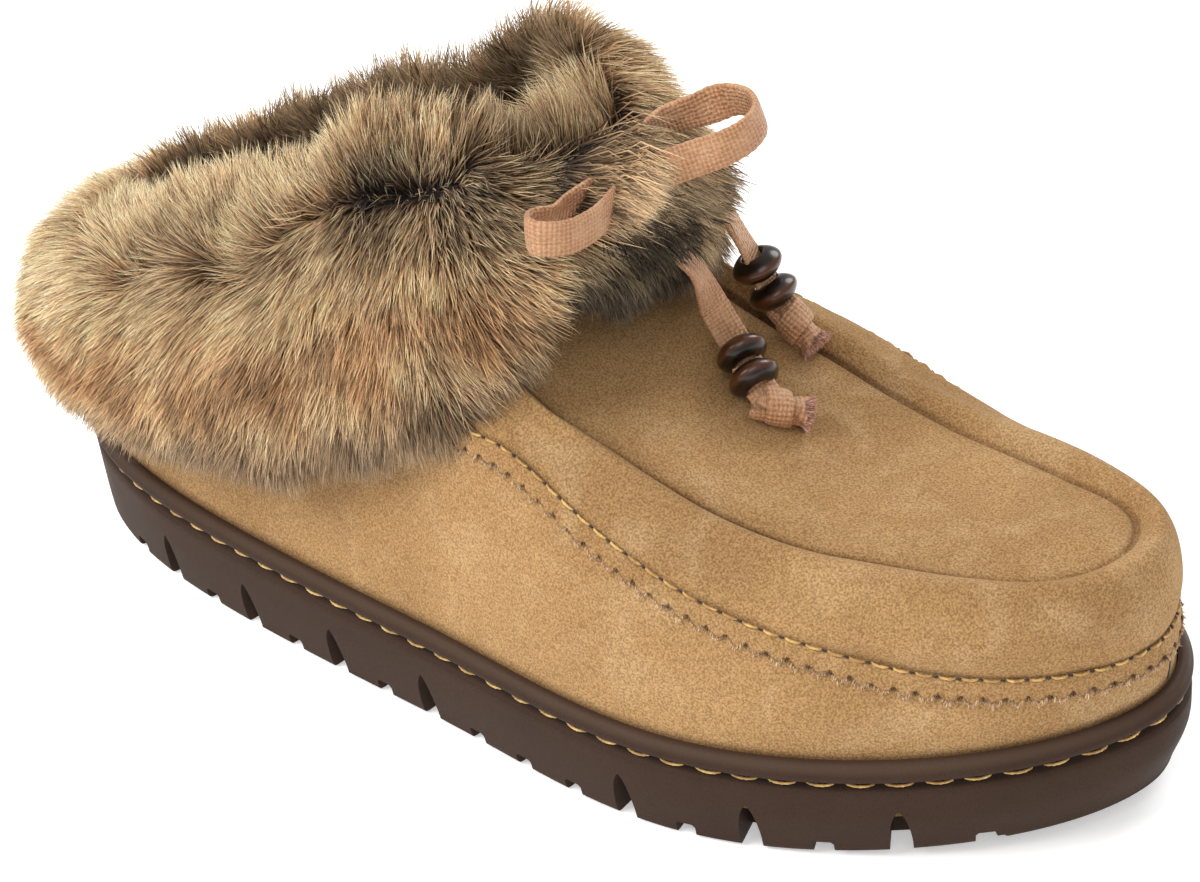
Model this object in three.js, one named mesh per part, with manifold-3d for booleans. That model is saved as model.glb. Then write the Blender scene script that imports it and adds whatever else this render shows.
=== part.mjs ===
// A fur-cuffed moccasin slipper for the right foot, standing empty on its sole.
// Millimetres. +X runs from the heel to the toe, +Y to the inner side of the foot, +Z up from the ground.
import * as THREE from 'three';
import { mergeVertices } from 'three/addons/utils/BufferGeometryUtils.js';
import Module from 'manifold-3d';

const wasm = await Module();
wasm.setup();

// Driving dimensions of the last and the sole
const SOLE_LENGTH = 267;
// How squarely each end of the sole is rounded: powers along the length and across it
const HEEL_ROUNDING = { along: 3.2, across: 2.07 };
const TOE_ROUNDING = { along: 3.78, across: 1.84 };
const TOE_SPRING = 5.4;
const TOE_SPRING_START = 0.4067;
const HEEL_LIFT = 1.9;
const HEEL_LIFT_START = 0.5;
// The tread rests under the heel and the ball, and clears the ground by this much between them
const SHANK_LIFT = 0.2;
const GROOVE_HEIGHT_HEEL = 20.7;
const GROOVE_HEIGHT_TOE = 17.6;
const RIM_RISE = 4.95;
const RIM_INSET = 1.9;
const FLOOR_HEIGHT_HEEL = 11;
const FLOOR_HEIGHT_TOE = 8;
const STATIONS_PER_SIDE = 30;

// Clearances and walls
const GAP = 0.3;
const FUR_GAP = 0.4;
const WALL = 3.6;
const INSOLE_THICKNESS = 6;
const INSOLE_EASE = 1.0;

// Where the middle of the sole's length lies from the part's origin
const SOLE_MIDDLE = { x: 4.3, y: -5.1 };

// The sole's plan, from heel to toe. at: share of the half length. half: half width. shift: the middle's
// offset to the inner side. arch: how far the inner side is drawn in.
const PLAN = [
  { at: -1.0, half: 38.7, shift: 0, arch: 0 },
  { at: -0.63, half: 38.8, shift: 0, arch: 0 },
  { at: -0.08, half: 42.0, shift: 0, arch: 2.5 },
  { at: 0.43, half: 52.5, shift: 6.4, arch: 0 },
  { at: 1.0, half: 44.5, shift: 14.0, arch: 0 },
];

// The upper's outer form, a row for each section from heel to toe. Each pair is how far a level lies inside
// the sole's plan and its height above the ground. First the side, up to the moccasin seam and the bulge.
const SIDE_SECTIONS = [
  { at: -1.0, wallIn: 3.4, wallUp: 45, seamIn: 7.0, seamUp: 66, bulgeIn: 9.0, bulgeUp: 78 },
  { at: -0.6, wallIn: 3.8, wallUp: 45, seamIn: 7.5, seamUp: 68, bulgeIn: 9.5, bulgeUp: 80 },
  { at: -0.2, wallIn: 3.2, wallUp: 44, seamIn: 8.0, seamUp: 72, bulgeIn: 10.5, bulgeUp: 82 },
  { at: 0.1, wallIn: 2.6, wallUp: 42, seamIn: 8.0, seamUp: 73.3, bulgeIn: 11.5, bulgeUp: 77.2 },
  { at: 0.305, wallIn: 2.6, wallUp: 40, seamIn: 8.0, seamUp: 62.3, bulgeIn: 12.0, bulgeUp: 66.0 },
  { at: 0.47, wallIn: 2.8, wallUp: 38, seamIn: 8.0, seamUp: 52.8, bulgeIn: 10.2, bulgeUp: 56.2 },
  { at: 0.63, wallIn: 2.8, wallUp: 35, seamIn: 8.0, seamUp: 46.4, bulgeIn: 8.4, bulgeUp: 50.6 },
  { at: 0.815, wallIn: 2.4, wallUp: 33, seamIn: 6.0, seamUp: 41.4, bulgeIn: 5.2, bulgeUp: 48.0 },
  { at: 1.0, wallIn: 1.6, wallUp: 32, seamIn: 1.8, seamUp: 39.6, bulgeIn: 0.8, bulgeUp: 47.0 },
];
// Then the roll round the apron: its shoulder and crest, and the crease where the apron begins. Behind the
// instep these levels close the form over the ankle, where the opening is cut.
const ROLL_SECTIONS = [
  { at: -1.0, shoulderIn: 11, shoulderUp: 90, crestIn: 14, crestUp: 100, creaseIn: 22, creaseUp: 107 },
  { at: -0.6, shoulderIn: 11, shoulderUp: 91, crestIn: 14, crestUp: 101, creaseIn: 22, creaseUp: 108 },
  { at: -0.2, shoulderIn: 12, shoulderUp: 91, crestIn: 14, crestUp: 99, creaseIn: 20, creaseUp: 104 },
  { at: 0.1, shoulderIn: 14, shoulderUp: 80.6, crestIn: 15.8, crestUp: 83.2, creaseIn: 19, creaseUp: 80.2 },
  { at: 0.305, shoulderIn: 16.4, shoulderUp: 68.6, crestIn: 20, crestUp: 70.2, creaseIn: 24, creaseUp: 67.4 },
  { at: 0.47, shoulderIn: 16, shoulderUp: 59, crestIn: 21, crestUp: 61.8, creaseIn: 25.4, creaseUp: 60.2 },
  { at: 0.63, shoulderIn: 13.6, shoulderUp: 54.8, crestIn: 20, crestUp: 58.6, creaseIn: 25, creaseUp: 56.6 },
  { at: 0.815, shoulderIn: 9.2, shoulderUp: 54.6, crestIn: 16, crestUp: 58.4, creaseIn: 21.6, creaseUp: 56 },
  { at: 1.0, shoulderIn: 1.8, shoulderUp: 54.6, crestIn: 4.4, crestUp: 59, creaseIn: 9.6, creaseUp: 56.8 },
];
const OUTER_LEVELS = ['wall', 'seam', 'bulge', 'shoulder', 'crest', 'crease'];
// The lining runs straight under the roll, whose padding lies between
const INNER_LEVELS = ['wall', 'seam', 'bulge', 'shoulder', 'crease'];
const SECTION_STEPS = 11;
const APRON_CROWN = 1.5;
const APRON_SHARES = [0.55, 0.1];

// The suede's top line from the side, from the heel to where it crosses the instep and the apron begins
const TOP_LINE = [
  { x: -150, up: 56 },
  { x: -112, up: 62 },
  { x: -60, up: 80 },
  { x: -24, up: 86 },
  { x: -8, up: 81 },
  { x: 4, up: 77 },
];

// The cuff's guide loop in plan, and its rows round the loop. turn: 0 at the heel, 0.25 at the outer side,
// 0.5 at the instep. low and top: heights of its lower edge and its crest. puff: how full its section is.
const CUFF_GUIDE = { x: -57.5, y: 1, long: 71, wide: 34, heelRounding: 2.3, frontRounding: 3.4 };
const CUFF_ROWS = [
  { turn: 0.0, low: 41, top: 77, puff: 1.0 },
  { turn: 0.125, low: 41, top: 84, puff: 1.0 },
  { turn: 0.1875, low: 43, top: 94, puff: 1.05 },
  { turn: 0.25, low: 49, top: 109, puff: 1.05 },
  { turn: 0.3125, low: 62, top: 131, puff: 0.95 },
  { turn: 0.375, low: 73, top: 133, puff: 0.97 },
  { turn: 0.4375, low: 81, top: 129, puff: 1.05 },
  { turn: 0.5, low: 81, top: 126, puff: 1.05 },
];
// The cuff's section: out from the guide loop, and up as a share of the row's height
const CUFF_SECTION = [
  { out: -8.5, up: 0.0 },
  { out: -9, up: 0.14 },
  { out: -12, up: 0.38 },
  { out: -15.5, up: 0.6 },
  { out: -17, up: 0.8 },
  { out: -15, up: 0.94 },
  { out: -10, up: 1.0 },
  { out: -2, up: 0.93 },
  { out: 6.5, up: 0.77 },
  { out: 12.5, up: 0.54 },
  { out: 14.5, up: 0.3 },
  { out: 13, up: 0.1 },
  { out: 9, up: 0.0 },
];
const CUFF_STATIONS = 44;

// Side notches of the sole, evenly pitched from the heel, on both sides
const NOTCH = { first: -103.8, pitch: 13.554, count: 17, deep: 9 };
const LARGE_NOTCHES = [1, 3, 5, 7, 11, 13, 15];
const LARGE = { wide: 4.6, high: 12 };
const SMALL = { wide: 4.2, high: 3.2 };
const CHANNEL = { wide: 3, deep: 1.6 };

// The lace's bow, tied in front of the cuff. Every route is the middle line of a stretch of lace. heading:
// the way from the loop on the outer side to the loop on the inner side.
const LACE = { thick: 3.2, sides: 8, stepsPerPoint: 2 };
const BOW_KNOT = { x: 26.2, y: -4.5, z: 118.2, heading: 0.724, along: 4.6, across: 5.5, up: 4.5 };
const LOOPS = {
  outer: [
    [24.2, -6, 118.2],
    [23.9, -9.6, 118.3],
    [23.4, -13.4, 118.6],
    [22.6, -19.2, 118.6],
    [21.9, -25, 118.6],
    [22.8, -29.6, 119.2],
    [26.5, -31.3, 119.6],
    [30.2, -27.6, 119],
    [31, -22, 118.5],
    [30.4, -17, 118.2],
    [29.2, -12.4, 118.1],
    [28.4, -9, 118.1],
    [28.2, -6, 118.2],
  ],
  inner: [
    [26, -2.4, 119.4],
    [23.9, 1.4, 120.4],
    [22.4, 6.3, 121.6],
    [23.6, 11, 123],
    [28.7, 15.4, 124.8],
    [34, 19.5, 126.6],
    [39.4, 19.5, 127],
    [43.1, 16.4, 126.4],
    [43.6, 12.4, 125.3],
    [41.3, 8, 123.8],
    [36.3, 3.4, 122],
    [32, -0.6, 120.4],
    [28.9, -3.4, 118.9],
  ],
};
// The lace's two ends. beads: the places along the route, counted from 0, where a bead is threaded. The
// route stops in the middle of the end knot, whose frayed tuft points to tip.
const LACE_ENDS = {
  outer: {
    route: [
      [25.8, -6.4, 115.6],
      [27.9, -4.4, 110.6],
      [29.4, -0.6, 105.4],
      [30.8, 4, 99.6],
      [31, 8, 94],
      [30.6, 11, 88],
      [30.8, 13.2, 82.4],
      [33.8, 13.4, 77.4],
      [37.8, 11.9, 74.6],
      [42.8, 8.8, 72.2],
      [47.9, 7.4, 68.3],
    ],
    beads: [8, 9],
    tip: [52.4, 11, 66.2],
  },
  inner: {
    route: [
      [27.8, -2.2, 115.9],
      [29.8, 2.8, 112.6],
      [30.2, 9, 109],
      [29.8, 14.5, 105.6],
      [28.9, 19.5, 102],
      [27.6, 23.5, 97.4],
      [28.4, 26, 91.7],
      [30.4, 28.2, 84.3],
      [33.3, 29.1, 78.3],
      [37.2, 29.3, 73.5],
    ],
    beads: [7, 8],
    tip: [42.2, 29.4, 69.1],
  },
};
const BEAD = { wide: 10.6, thick: 5.2, rim: 1.8, hole: 4.5, segments: 16 };
// The end knot's outline from its back to the tip of its tuft
const END_KNOT = [
  { along: -2.6, radius: 0 },
  { along: -2.4, radius: 2.2 },
  { along: -1, radius: 3.7 },
  { along: 1, radius: 3.7 },
  { along: 2.6, radius: 2.3 },
  { along: 7.4, radius: 2.9 },
  { along: 8.6, radius: 0 },
];
const KNOT_SEGMENTS = 10;

const COLOURS = {
  rubber: 0x463832,
  suede: 0xbf9660,
  fur: 0x8b745a,
  pile: 0x6f5b48,
  lace: 0xbb8560,
  wood: 0x3a2015,
};

// A smooth curve through rows, with no overshoot between them
function smoothRows(rows, key, column) {
  const at = rows.map((row) => row[key]);
  const value = rows.map((row) => row[column]);
  const last = at.length - 1;
  const step = at.slice(1).map((a, i) => a - at[i]);
  const rise = step.map((h, i) => (value[i + 1] - value[i]) / h);
  const slope = value.map((_, i) => {
    if (i === 0) return rise[0];
    if (i === last) return rise[last - 1];
    if (rise[i - 1] * rise[i] <= 0) return 0;
    const before = 2 * step[i] + step[i - 1];
    const after = step[i] + 2 * step[i - 1];
    return (before + after) / (before / rise[i - 1] + after / rise[i]);
  });
  return (x) => {
    const clamped = Math.min(Math.max(x, at[0]), at[last]);
    let i = 0;
    while (i < last - 1 && clamped > at[i + 1]) i += 1;
    const t = (clamped - at[i]) / step[i];
    const [t2, t3] = [t * t, t * t * t];
    return (
      value[i] * (2 * t3 - 3 * t2 + 1) +
      slope[i] * step[i] * (t3 - 2 * t2 + t) +
      value[i + 1] * (3 * t2 - 2 * t3) +
      slope[i + 1] * step[i] * (t3 - t2)
    );
  };
}

function columns(rows, key) {
  const names = Object.keys(rows[0]).filter((name) => name !== key);
  return Object.fromEntries(names.map((name) => [name, smoothRows(rows, key, name)]));
}

const plan = columns(PLAN, 'at');
const section = { ...columns(SIDE_SECTIONS, 'at'), ...columns(ROLL_SECTIONS, 'at') };

// A point of the plan drawn in by inset, for a station from -1 at the heel to 1 at the toe
function planPoint(at, side, inset, endInset) {
  const rounding = at < 0 ? HEEL_ROUNDING : TOE_ROUNDING;
  const cap = Math.max(0, 1 - Math.abs(at) ** rounding.along) ** (1 / rounding.across);
  const half = plan.half(at) - inset - (side > 0 ? plan.arch(at) : 0);
  return new THREE.Vector2(at * (SOLE_LENGTH / 2 - endInset), plan.shift(at) + side * half * cap);
}

// Stations round the sole: the outer side from heel to toe, then the inner side back
function stations() {
  const list = [];
  for (let i = 0; i <= STATIONS_PER_SIDE; i += 1) {
    list.push({ at: Math.sin((i / STATIONS_PER_SIDE - 0.5) * Math.PI), side: -1 });
  }
  for (let i = STATIONS_PER_SIDE - 1; i > 0; i -= 1) {
    list.push({ at: Math.sin((i / STATIONS_PER_SIDE - 0.5) * Math.PI), side: 1 });
  }
  return list;
}

const toeLift = (at) => TOE_SPRING * Math.max(0, (at - TOE_SPRING_START) / (1 - TOE_SPRING_START)) ** 2;
const heelLift = (at) => HEEL_LIFT * Math.max(0, (-at - HEEL_LIFT_START) / (1 - HEEL_LIFT_START)) ** 2;
const between = (a, b, at) => a + ((b - a) * (at + 1)) / 2;
function shankLift(at) {
  const share = (at + HEEL_LIFT_START) / (TOE_SPRING_START + HEEL_LIFT_START);
  return SHANK_LIFT * Math.sin(Math.PI * Math.min(Math.max(share, 0), 1));
}
const treadHeight = (at) => toeLift(at) + heelLift(at) + shankLift(at);
const grooveHeight = (at) => between(GROOVE_HEIGHT_HEEL, GROOVE_HEIGHT_TOE, at) + toeLift(at);
const floorHeight = (at) => between(FLOOR_HEIGHT_HEEL, FLOOR_HEIGHT_TOE, at) + toeLift(at);

// A ring at one inset and height, each a number or a function of the station
function ring(inset, height) {
  const value = (quantity, at) => (typeof quantity === 'function' ? quantity(at) : quantity);
  return stations().map(({ at, side }) => {
    const p = planPoint(at, side, value(inset, at), value(inset, Math.sign(at)));
    return new THREE.Vector3(p.x, p.y, value(height, at));
  });
}

// A closed mesh from rings of equal count, running up. With crossClosed, the first and last ring are closed
// straight across, from one side to the other.
function loft(rings, crossClosed) {
  const count = rings[0].length;
  const positions = rings.flat().flatMap((p) => [p.x, p.y, p.z]);
  const faces = [];
  const quad = (a, b, c, d) => faces.push(a, b, c, a, c, d);
  const ringPairs = crossClosed ? rings.length - 1 : rings.length;
  for (let r = 0; r < ringPairs; r += 1) {
    const next = ((r + 1) % rings.length) * count;
    for (let i = 0; i < count; i += 1) {
      const j = (i + 1) % count;
      quad(r * count + i, r * count + j, next + j, next + i);
    }
  }
  if (crossClosed) {
    const top = (rings.length - 1) * count;
    const half = count / 2;
    for (let i = 0; i < half; i += 1) {
      const across = (count - i) % count;
      const beyond = count - i - 1;
      if (i > 0) {
        faces.push(i, across, i + 1);
        faces.push(top + i, top + i + 1, top + across);
      }
      if (i < half - 1) {
        faces.push(across, beyond, i + 1);
        faces.push(top + across, top + i + 1, top + beyond);
      }
    }
  }
  const geometry = new THREE.BufferGeometry();
  geometry.setAttribute('position', new THREE.Float32BufferAttribute(positions, 3));
  geometry.setIndex(faces);
  return geometry;
}

function toSolid(geometry) {
  const bare = geometry.clone();
  bare.deleteAttribute('normal');
  bare.deleteAttribute('uv');
  const merged = mergeVertices(bare, 1e-4);
  const vertProperties = Float32Array.from(merged.attributes.position.array);
  const triVerts = Uint32Array.from(merged.index.array);
  return new wasm.Manifold(new wasm.Mesh({ numProp: 3, vertProperties, triVerts }));
}

function toGeometry(solid) {
  const { vertProperties, triVerts } = solid.getMesh();
  const geometry = new THREE.BufferGeometry();
  geometry.setAttribute('position', new THREE.BufferAttribute(vertProperties, 3));
  geometry.setIndex(new THREE.BufferAttribute(triVerts, 1));
  return geometry;
}

function placed(geometry, matrix) {
  const copy = geometry.clone();
  copy.applyMatrix4(matrix);
  return copy;
}

// The outline of a side notch, standing on its foot: tall ones taper to a round top
function notchShape({ wide, high }) {
  const shape = new THREE.Shape();
  const foot = -3;
  shape.moveTo(-wide / 2, foot);
  shape.lineTo(wide / 2, foot);
  if (high > wide) {
    shape.lineTo(wide / 2, high * 0.25);
    shape.quadraticCurveTo(wide * 0.42, high * 0.85, 0, high);
    shape.quadraticCurveTo(-wide * 0.42, high * 0.85, -wide / 2, high * 0.25);
  } else {
    shape.lineTo(wide / 2, high);
    shape.lineTo(-wide / 2, high);
  }
  shape.closePath();
  return shape;
}

// The notch's cutter, laid across the sole's edge
function notchCutter(index, side) {
  const x = NOTCH.first + NOTCH.pitch * index;
  const at = x / (SOLE_LENGTH / 2);
  const edge = planPoint(at, side, 0, 0);
  const ahead = planPoint(at + 0.01, side, 0, 0);
  const along = Math.atan2(ahead.y - edge.y, ahead.x - edge.x);
  const kind = LARGE_NOTCHES.includes(index) ? LARGE : SMALL;
  const outside = 3;
  const cutter = new THREE.ExtrudeGeometry(notchShape(kind), {
    depth: NOTCH.deep + outside,
    bevelEnabled: false,
    curveSegments: 3,
  });
  // The shape's plane turns upright, and the depth runs across the edge
  cutter.rotateX(Math.PI / 2);
  cutter.translate(0, side > 0 ? outside : NOTCH.deep, 0);
  cutter.rotateZ(along);
  cutter.translate(edge.x, edge.y, treadHeight(at));
  return cutter;
}

// A channel across the tread, from a notch on one side to the one across
function channelCutter(index) {
  const x = NOTCH.first + NOTCH.pitch * index;
  const lift = treadHeight(x / (SOLE_LENGTH / 2));
  const reach = 140;
  const below = 4;
  const box = new THREE.BoxGeometry(CHANNEL.wide, reach, CHANNEL.deep + below);
  return placed(box, new THREE.Matrix4().makeTranslation(x, 0, lift + (CHANNEL.deep - below) / 2));
}

function makeOutsole() {
  const lowInset = smoothRows([
    { at: -1, inset: 0.1 },
    { at: -0.5, inset: 1.1 },
    { at: 0.5, inset: 1.1 },
    { at: 1, inset: 2.6 },
  ], 'at', 'inset');
  const side = (share) => (at) => treadHeight(at) + share * (grooveHeight(at) - treadHeight(at));
  const aboveGroove = (rise) => (at) => grooveHeight(at) + rise;
  const body = loft([
    ring((at) => lowInset(at) + 1, treadHeight),
    ring(lowInset, (at) => treadHeight(at) + 1.2),
    ring(-0.3, side(0.55)),
    ring(-0.7, aboveGroove(-2)),
    ring(0.3, aboveGroove(-0.8)),
    ring(0.3, aboveGroove(0.5)),
    ring(-0.9, aboveGroove(1.5)),
    ring(-0.9, aboveGroove(3.2)),
    ring(0.2, aboveGroove(RIM_RISE - 0.4)),
    ring(RIM_INSET, aboveGroove(RIM_RISE)),
    ring(RIM_INSET, floorHeight),
  ], true);
  let solid = toSolid(body);
  for (let index = 0; index < NOTCH.count; index += 1) {
    if (!LARGE_NOTCHES.includes(index)) solid = solid.subtract(toSolid(channelCutter(index)));
    for (const edge of [-1, 1]) solid = solid.subtract(toSolid(notchCutter(index, edge)));
  }
  return toGeometry(solid);
}

// The upper's rings through the given levels, from its foot inside the sole's rim to the middle of the apron
function upperRings(levels) {
  const inset = RIM_INSET + GAP;
  const list = stations();
  const rings = [
    ring(inset, (at) => floorHeight(at) + GAP),
    ring(inset, (at) => grooveHeight(at) + RIM_RISE),
  ];
  const curves = list.map(({ at, side }, i) => {
    const points = [rings[1][i]];
    for (const level of levels) {
      const drawnIn = section[`${level}In`];
      const p = planPoint(at, side, drawnIn(at), drawnIn(Math.sign(at)));
      points.push(new THREE.Vector3(p.x, p.y, section[`${level}Up`](at)));
    }
    return new THREE.CatmullRomCurve3(points, false, 'centripetal');
  });
  for (let s = 1; s <= SECTION_STEPS; s += 1) {
    rings.push(curves.map((curve) => curve.getPoint(s / SECTION_STEPS)));
  }
  const crease = rings[rings.length - 1];
  for (const share of APRON_SHARES) {
    const rise = APRON_CROWN * (1 - share * share);
    rings.push(crease.map((p, i) => {
      const across = crease[(list.length - i) % list.length];
      const middle = (p.y + across.y) / 2;
      const pull = 1 - (1 - share) * 0.08;
      return new THREE.Vector3(p.x * pull, middle + (p.y - middle) * share, p.z + rise);
    }));
  }
  return rings;
}

// Moves each point of the rings along the surface's normal, outwards when the distance is positive
function offsetRings(rings, distance) {
  const geometry = loft(rings, true);
  geometry.computeVertexNormals();
  const normal = geometry.attributes.normal;
  const count = rings[0].length;
  return rings.map((points, r) => points.map((p, i) => {
    const n = new THREE.Vector3().fromBufferAttribute(normal, r * count + i);
    if (r < 2) n.setZ(0).normalize();
    const moved = p.clone().addScaledVector(n, distance);
    if (r < 1) moved.z = p.z;
    return moved;
  }));
}

const lowered = (points, drop) => points.map((p) => new THREE.Vector3(p.x, p.y, p.z - drop));

// The space above the top line, right across the shoe, drawn back from the suede's edge by the distance given
function openingCutter(distance) {
  const shape = new THREE.Shape();
  const ceiling = 200;
  const half = 90;
  TOP_LINE.forEach(({ x, up }, i) => {
    if (i === 0) shape.moveTo(x, up + distance);
    else shape.lineTo(x - distance, up + distance);
  });
  shape.lineTo(TOP_LINE[TOP_LINE.length - 1].x - distance, ceiling);
  shape.lineTo(TOP_LINE[0].x, ceiling);
  shape.closePath();
  const cutter = new THREE.ExtrudeGeometry(shape, { depth: 2 * half, bevelEnabled: false });
  cutter.rotateX(Math.PI / 2);
  cutter.translate(0, half, 0);
  return toSolid(cutter);
}

// The upper's wall, open at the ankle and underneath, and thicker by grow on each face and edge
function upperShell(grow) {
  const outer = offsetRings(upperRings(OUTER_LEVELS), grow);
  const inner = offsetRings(upperRings(INNER_LEVELS), -WALL - grow);
  const drop = 8;
  const form = toSolid(loft([lowered(outer[0], grow), ...outer.slice(1)], true));
  const room = toSolid(loft([lowered(inner[0], drop), ...inner.slice(1)], true));
  return form.subtract(room).subtract(openingCutter(grow));
}

const makeUpper = () => toGeometry(upperShell(0));

// The footbed lies on the sole's floor, inside the upper's wall
function makeInsole() {
  const inset = RIM_INSET + GAP + WALL + INSOLE_EASE;
  const over = (rise) => (at) => floorHeight(at) + rise;
  return loft([
    ring(inset, over(GAP)),
    ring(inset, over(INSOLE_THICKNESS - 1.5)),
    ring(inset + 2, over(INSOLE_THICKNESS)),
  ], true);
}

// The cuff: deep fur on both faces of a folded band, which straddles the suede's top edge all round
function makeCuff() {
  const rows = columns([...CUFF_ROWS, ...CUFF_ROWS.slice(0, -1).reverse()
    .map((row) => ({ ...row, turn: 1 - row.turn }))], 'turn');
  const guide = (turn) => {
    const angle = 2 * Math.PI * turn;
    const rounding = Math.cos(angle) > 0 ? CUFF_GUIDE.heelRounding : CUFF_GUIDE.frontRounding;
    const rounded = (v) => Math.sign(v) * Math.abs(v) ** (2 / rounding);
    return new THREE.Vector2(
      CUFF_GUIDE.x - CUFF_GUIDE.long * rounded(Math.cos(angle)),
      CUFF_GUIDE.y - CUFF_GUIDE.wide * rounded(Math.sin(angle)),
    );
  };
  const rings = [];
  for (let s = 0; s < CUFF_STATIONS; s += 1) {
    const turn = s / CUFF_STATIONS;
    const nearby = 0.02;
    const [before, here, after] = [turn - nearby, turn, turn + nearby].map(guide);
    const along = after.clone().sub(before).normalize();
    const [outX, outY] = [along.y, -along.x];
    const [low, top, puff] = [rows.low(turn), rows.top(turn), rows.puff(turn)];
    rings.push(CUFF_SECTION.map(({ out, up }) => new THREE.Vector3(
      here.x + outX * out * puff,
      here.y + outY * out * puff,
      low + (top - low) * up,
    )));
  }
  const band = toSolid(loft(rings, false));
  // The grown shell folds a little in the tightest creases, where the second cut takes what it leaves
  return toGeometry(band.subtract(upperShell(FUR_GAP)).subtract(upperShell(FUR_GAP / 4)));
}

function smoothPath(route) {
  return new THREE.CatmullRomCurve3(route.map((point) => new THREE.Vector3(...point)), false, 'centripetal');
}

// A stretch of lace along a route, cut clear of the knots given as solids
function laceTube(route, knots) {
  const shape = new THREE.Shape();
  shape.absarc(0, 0, LACE.thick / 2, 0, 2 * Math.PI, false);
  const tube = new THREE.ExtrudeGeometry(shape, {
    steps: LACE.stepsPerPoint * (route.length - 1),
    // A whole turn takes two sides for each of these
    curveSegments: LACE.sides / 2,
    extrudePath: smoothPath(route),
  });
  return toGeometry(knots.reduce((solid, knot) => solid.subtract(knot), toSolid(tube)));
}

function bowKnot(grow) {
  const knot = new THREE.SphereGeometry(1, KNOT_SEGMENTS, 8);
  knot.scale(BOW_KNOT.along + grow, BOW_KNOT.across + grow, BOW_KNOT.up + grow);
  knot.rotateZ(BOW_KNOT.heading);
  knot.translate(BOW_KNOT.x, BOW_KNOT.y, BOW_KNOT.z);
  return toSolid(knot);
}

// Turns a lathed piece, made round the Y axis, to run from a point along a direction
function aimed(geometry, point, direction) {
  const turn = new THREE.Quaternion().setFromUnitVectors(new THREE.Vector3(0, 1, 0), direction);
  geometry.applyQuaternion(turn);
  geometry.translate(point.x, point.y, point.z);
  return toSolid(geometry);
}

function endKnot({ route, tip }, grow) {
  const middle = new THREE.Vector3(...route[route.length - 1]);
  const outline = END_KNOT.map(({ along, radius }) => (
    new THREE.Vector2(radius > 0 ? radius + grow : 0, along + Math.sign(along) * grow)));
  const direction = new THREE.Vector3(...tip).sub(middle).normalize();
  return aimed(new THREE.LatheGeometry(outline, KNOT_SEGMENTS), middle, direction);
}

// A lens-shaped wooden bead with a hole through it, threaded at one point of a lace end
function bead({ route }, index) {
  const path = smoothPath(route);
  const [hole, rim] = [BEAD.hole / 2, BEAD.wide / 2];
  const outline = [
    [hole, -BEAD.thick / 2],
    [hole + 1, -BEAD.thick / 2],
    [rim * 0.8, -BEAD.rim],
    [rim, -BEAD.rim / 3],
    [rim, BEAD.rim / 3],
    [rim * 0.8, BEAD.rim],
    [hole + 1, BEAD.thick / 2],
    [hole, BEAD.thick / 2],
    [hole, -BEAD.thick / 2],
  ].map(([radius, along]) => new THREE.Vector2(radius, along));
  const share = index / (route.length - 1);
  return aimed(new THREE.LatheGeometry(outline, BEAD.segments), path.getPoint(share), path.getTangent(share));
}

const shoe = new THREE.Group();
shoe.position.set(SOLE_MIDDLE.x, SOLE_MIDDLE.y, 0);

function add(name, geometry, color, roughness) {
  const material = new THREE.MeshStandardMaterial({ color, roughness, metalness: 0 });
  const mesh = new THREE.Mesh(geometry, material);
  mesh.name = name;
  shoe.add(mesh);
}

add('outsole', makeOutsole(), COLOURS.rubber, 0.6);
add('insole', makeInsole(), COLOURS.pile, 1);
add('upper', makeUpper(), COLOURS.suede, 0.95);
add('fur_collar', makeCuff(), COLOURS.fur, 1);

add('bow_knot', toGeometry(bowKnot(0)), COLOURS.lace, 0.6);
for (const [side, route] of Object.entries(LOOPS)) {
  add(`bow_loop_${side}`, laceTube(route, [bowKnot(GAP)]), COLOURS.lace, 0.6);
}
for (const [side, end] of Object.entries(LACE_ENDS)) {
  add(`lace_end_${side}`, laceTube(end.route, [bowKnot(GAP), endKnot(end, GAP)]), COLOURS.lace, 0.6);
  add(`end_knot_${side}`, toGeometry(endKnot(end, 0)), COLOURS.lace, 0.7);
  end.beads.forEach((index, i) => {
    add(`bead_${side}_${i + 1}`, toGeometry(bead(end, index)), COLOURS.wood, 0.3);
  });
}

export default shoe;
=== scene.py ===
"""A fur-cuffed moccasin slipper for the right foot, standing on a pale floor.

Shapes are worked out in millimetres about the middle of the sole and moved to the part's frame, in
metres, as each mesh is made. +X runs from the heel to the toe, +Y to the inner side of the foot.
"""
import math

import bpy
import numpy as np
from mathutils import Matrix
from mathutils.kdtree import KDTree


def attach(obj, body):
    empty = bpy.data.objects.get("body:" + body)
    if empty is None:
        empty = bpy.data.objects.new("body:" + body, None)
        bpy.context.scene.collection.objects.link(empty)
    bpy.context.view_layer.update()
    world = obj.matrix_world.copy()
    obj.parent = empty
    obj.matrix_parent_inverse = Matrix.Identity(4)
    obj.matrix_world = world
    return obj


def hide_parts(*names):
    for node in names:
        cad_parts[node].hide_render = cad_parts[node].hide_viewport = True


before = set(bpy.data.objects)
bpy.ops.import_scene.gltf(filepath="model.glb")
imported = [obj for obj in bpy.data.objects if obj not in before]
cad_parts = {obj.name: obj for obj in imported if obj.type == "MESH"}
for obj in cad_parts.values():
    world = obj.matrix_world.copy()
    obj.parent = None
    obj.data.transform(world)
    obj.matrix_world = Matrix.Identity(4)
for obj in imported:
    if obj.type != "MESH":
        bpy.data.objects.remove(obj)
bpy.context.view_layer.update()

MIDDLE = np.array([4.3, -5.1, 0.0])
MM = 0.001
BODY = "root"
FULL_TURN = 2 * math.pi
WAVES = 14
AHEAD = np.array([1.0, 0, 0])
INWARD = np.array([0, 1.0, 0])
UP = np.array([0, 0, 1.0])

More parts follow.
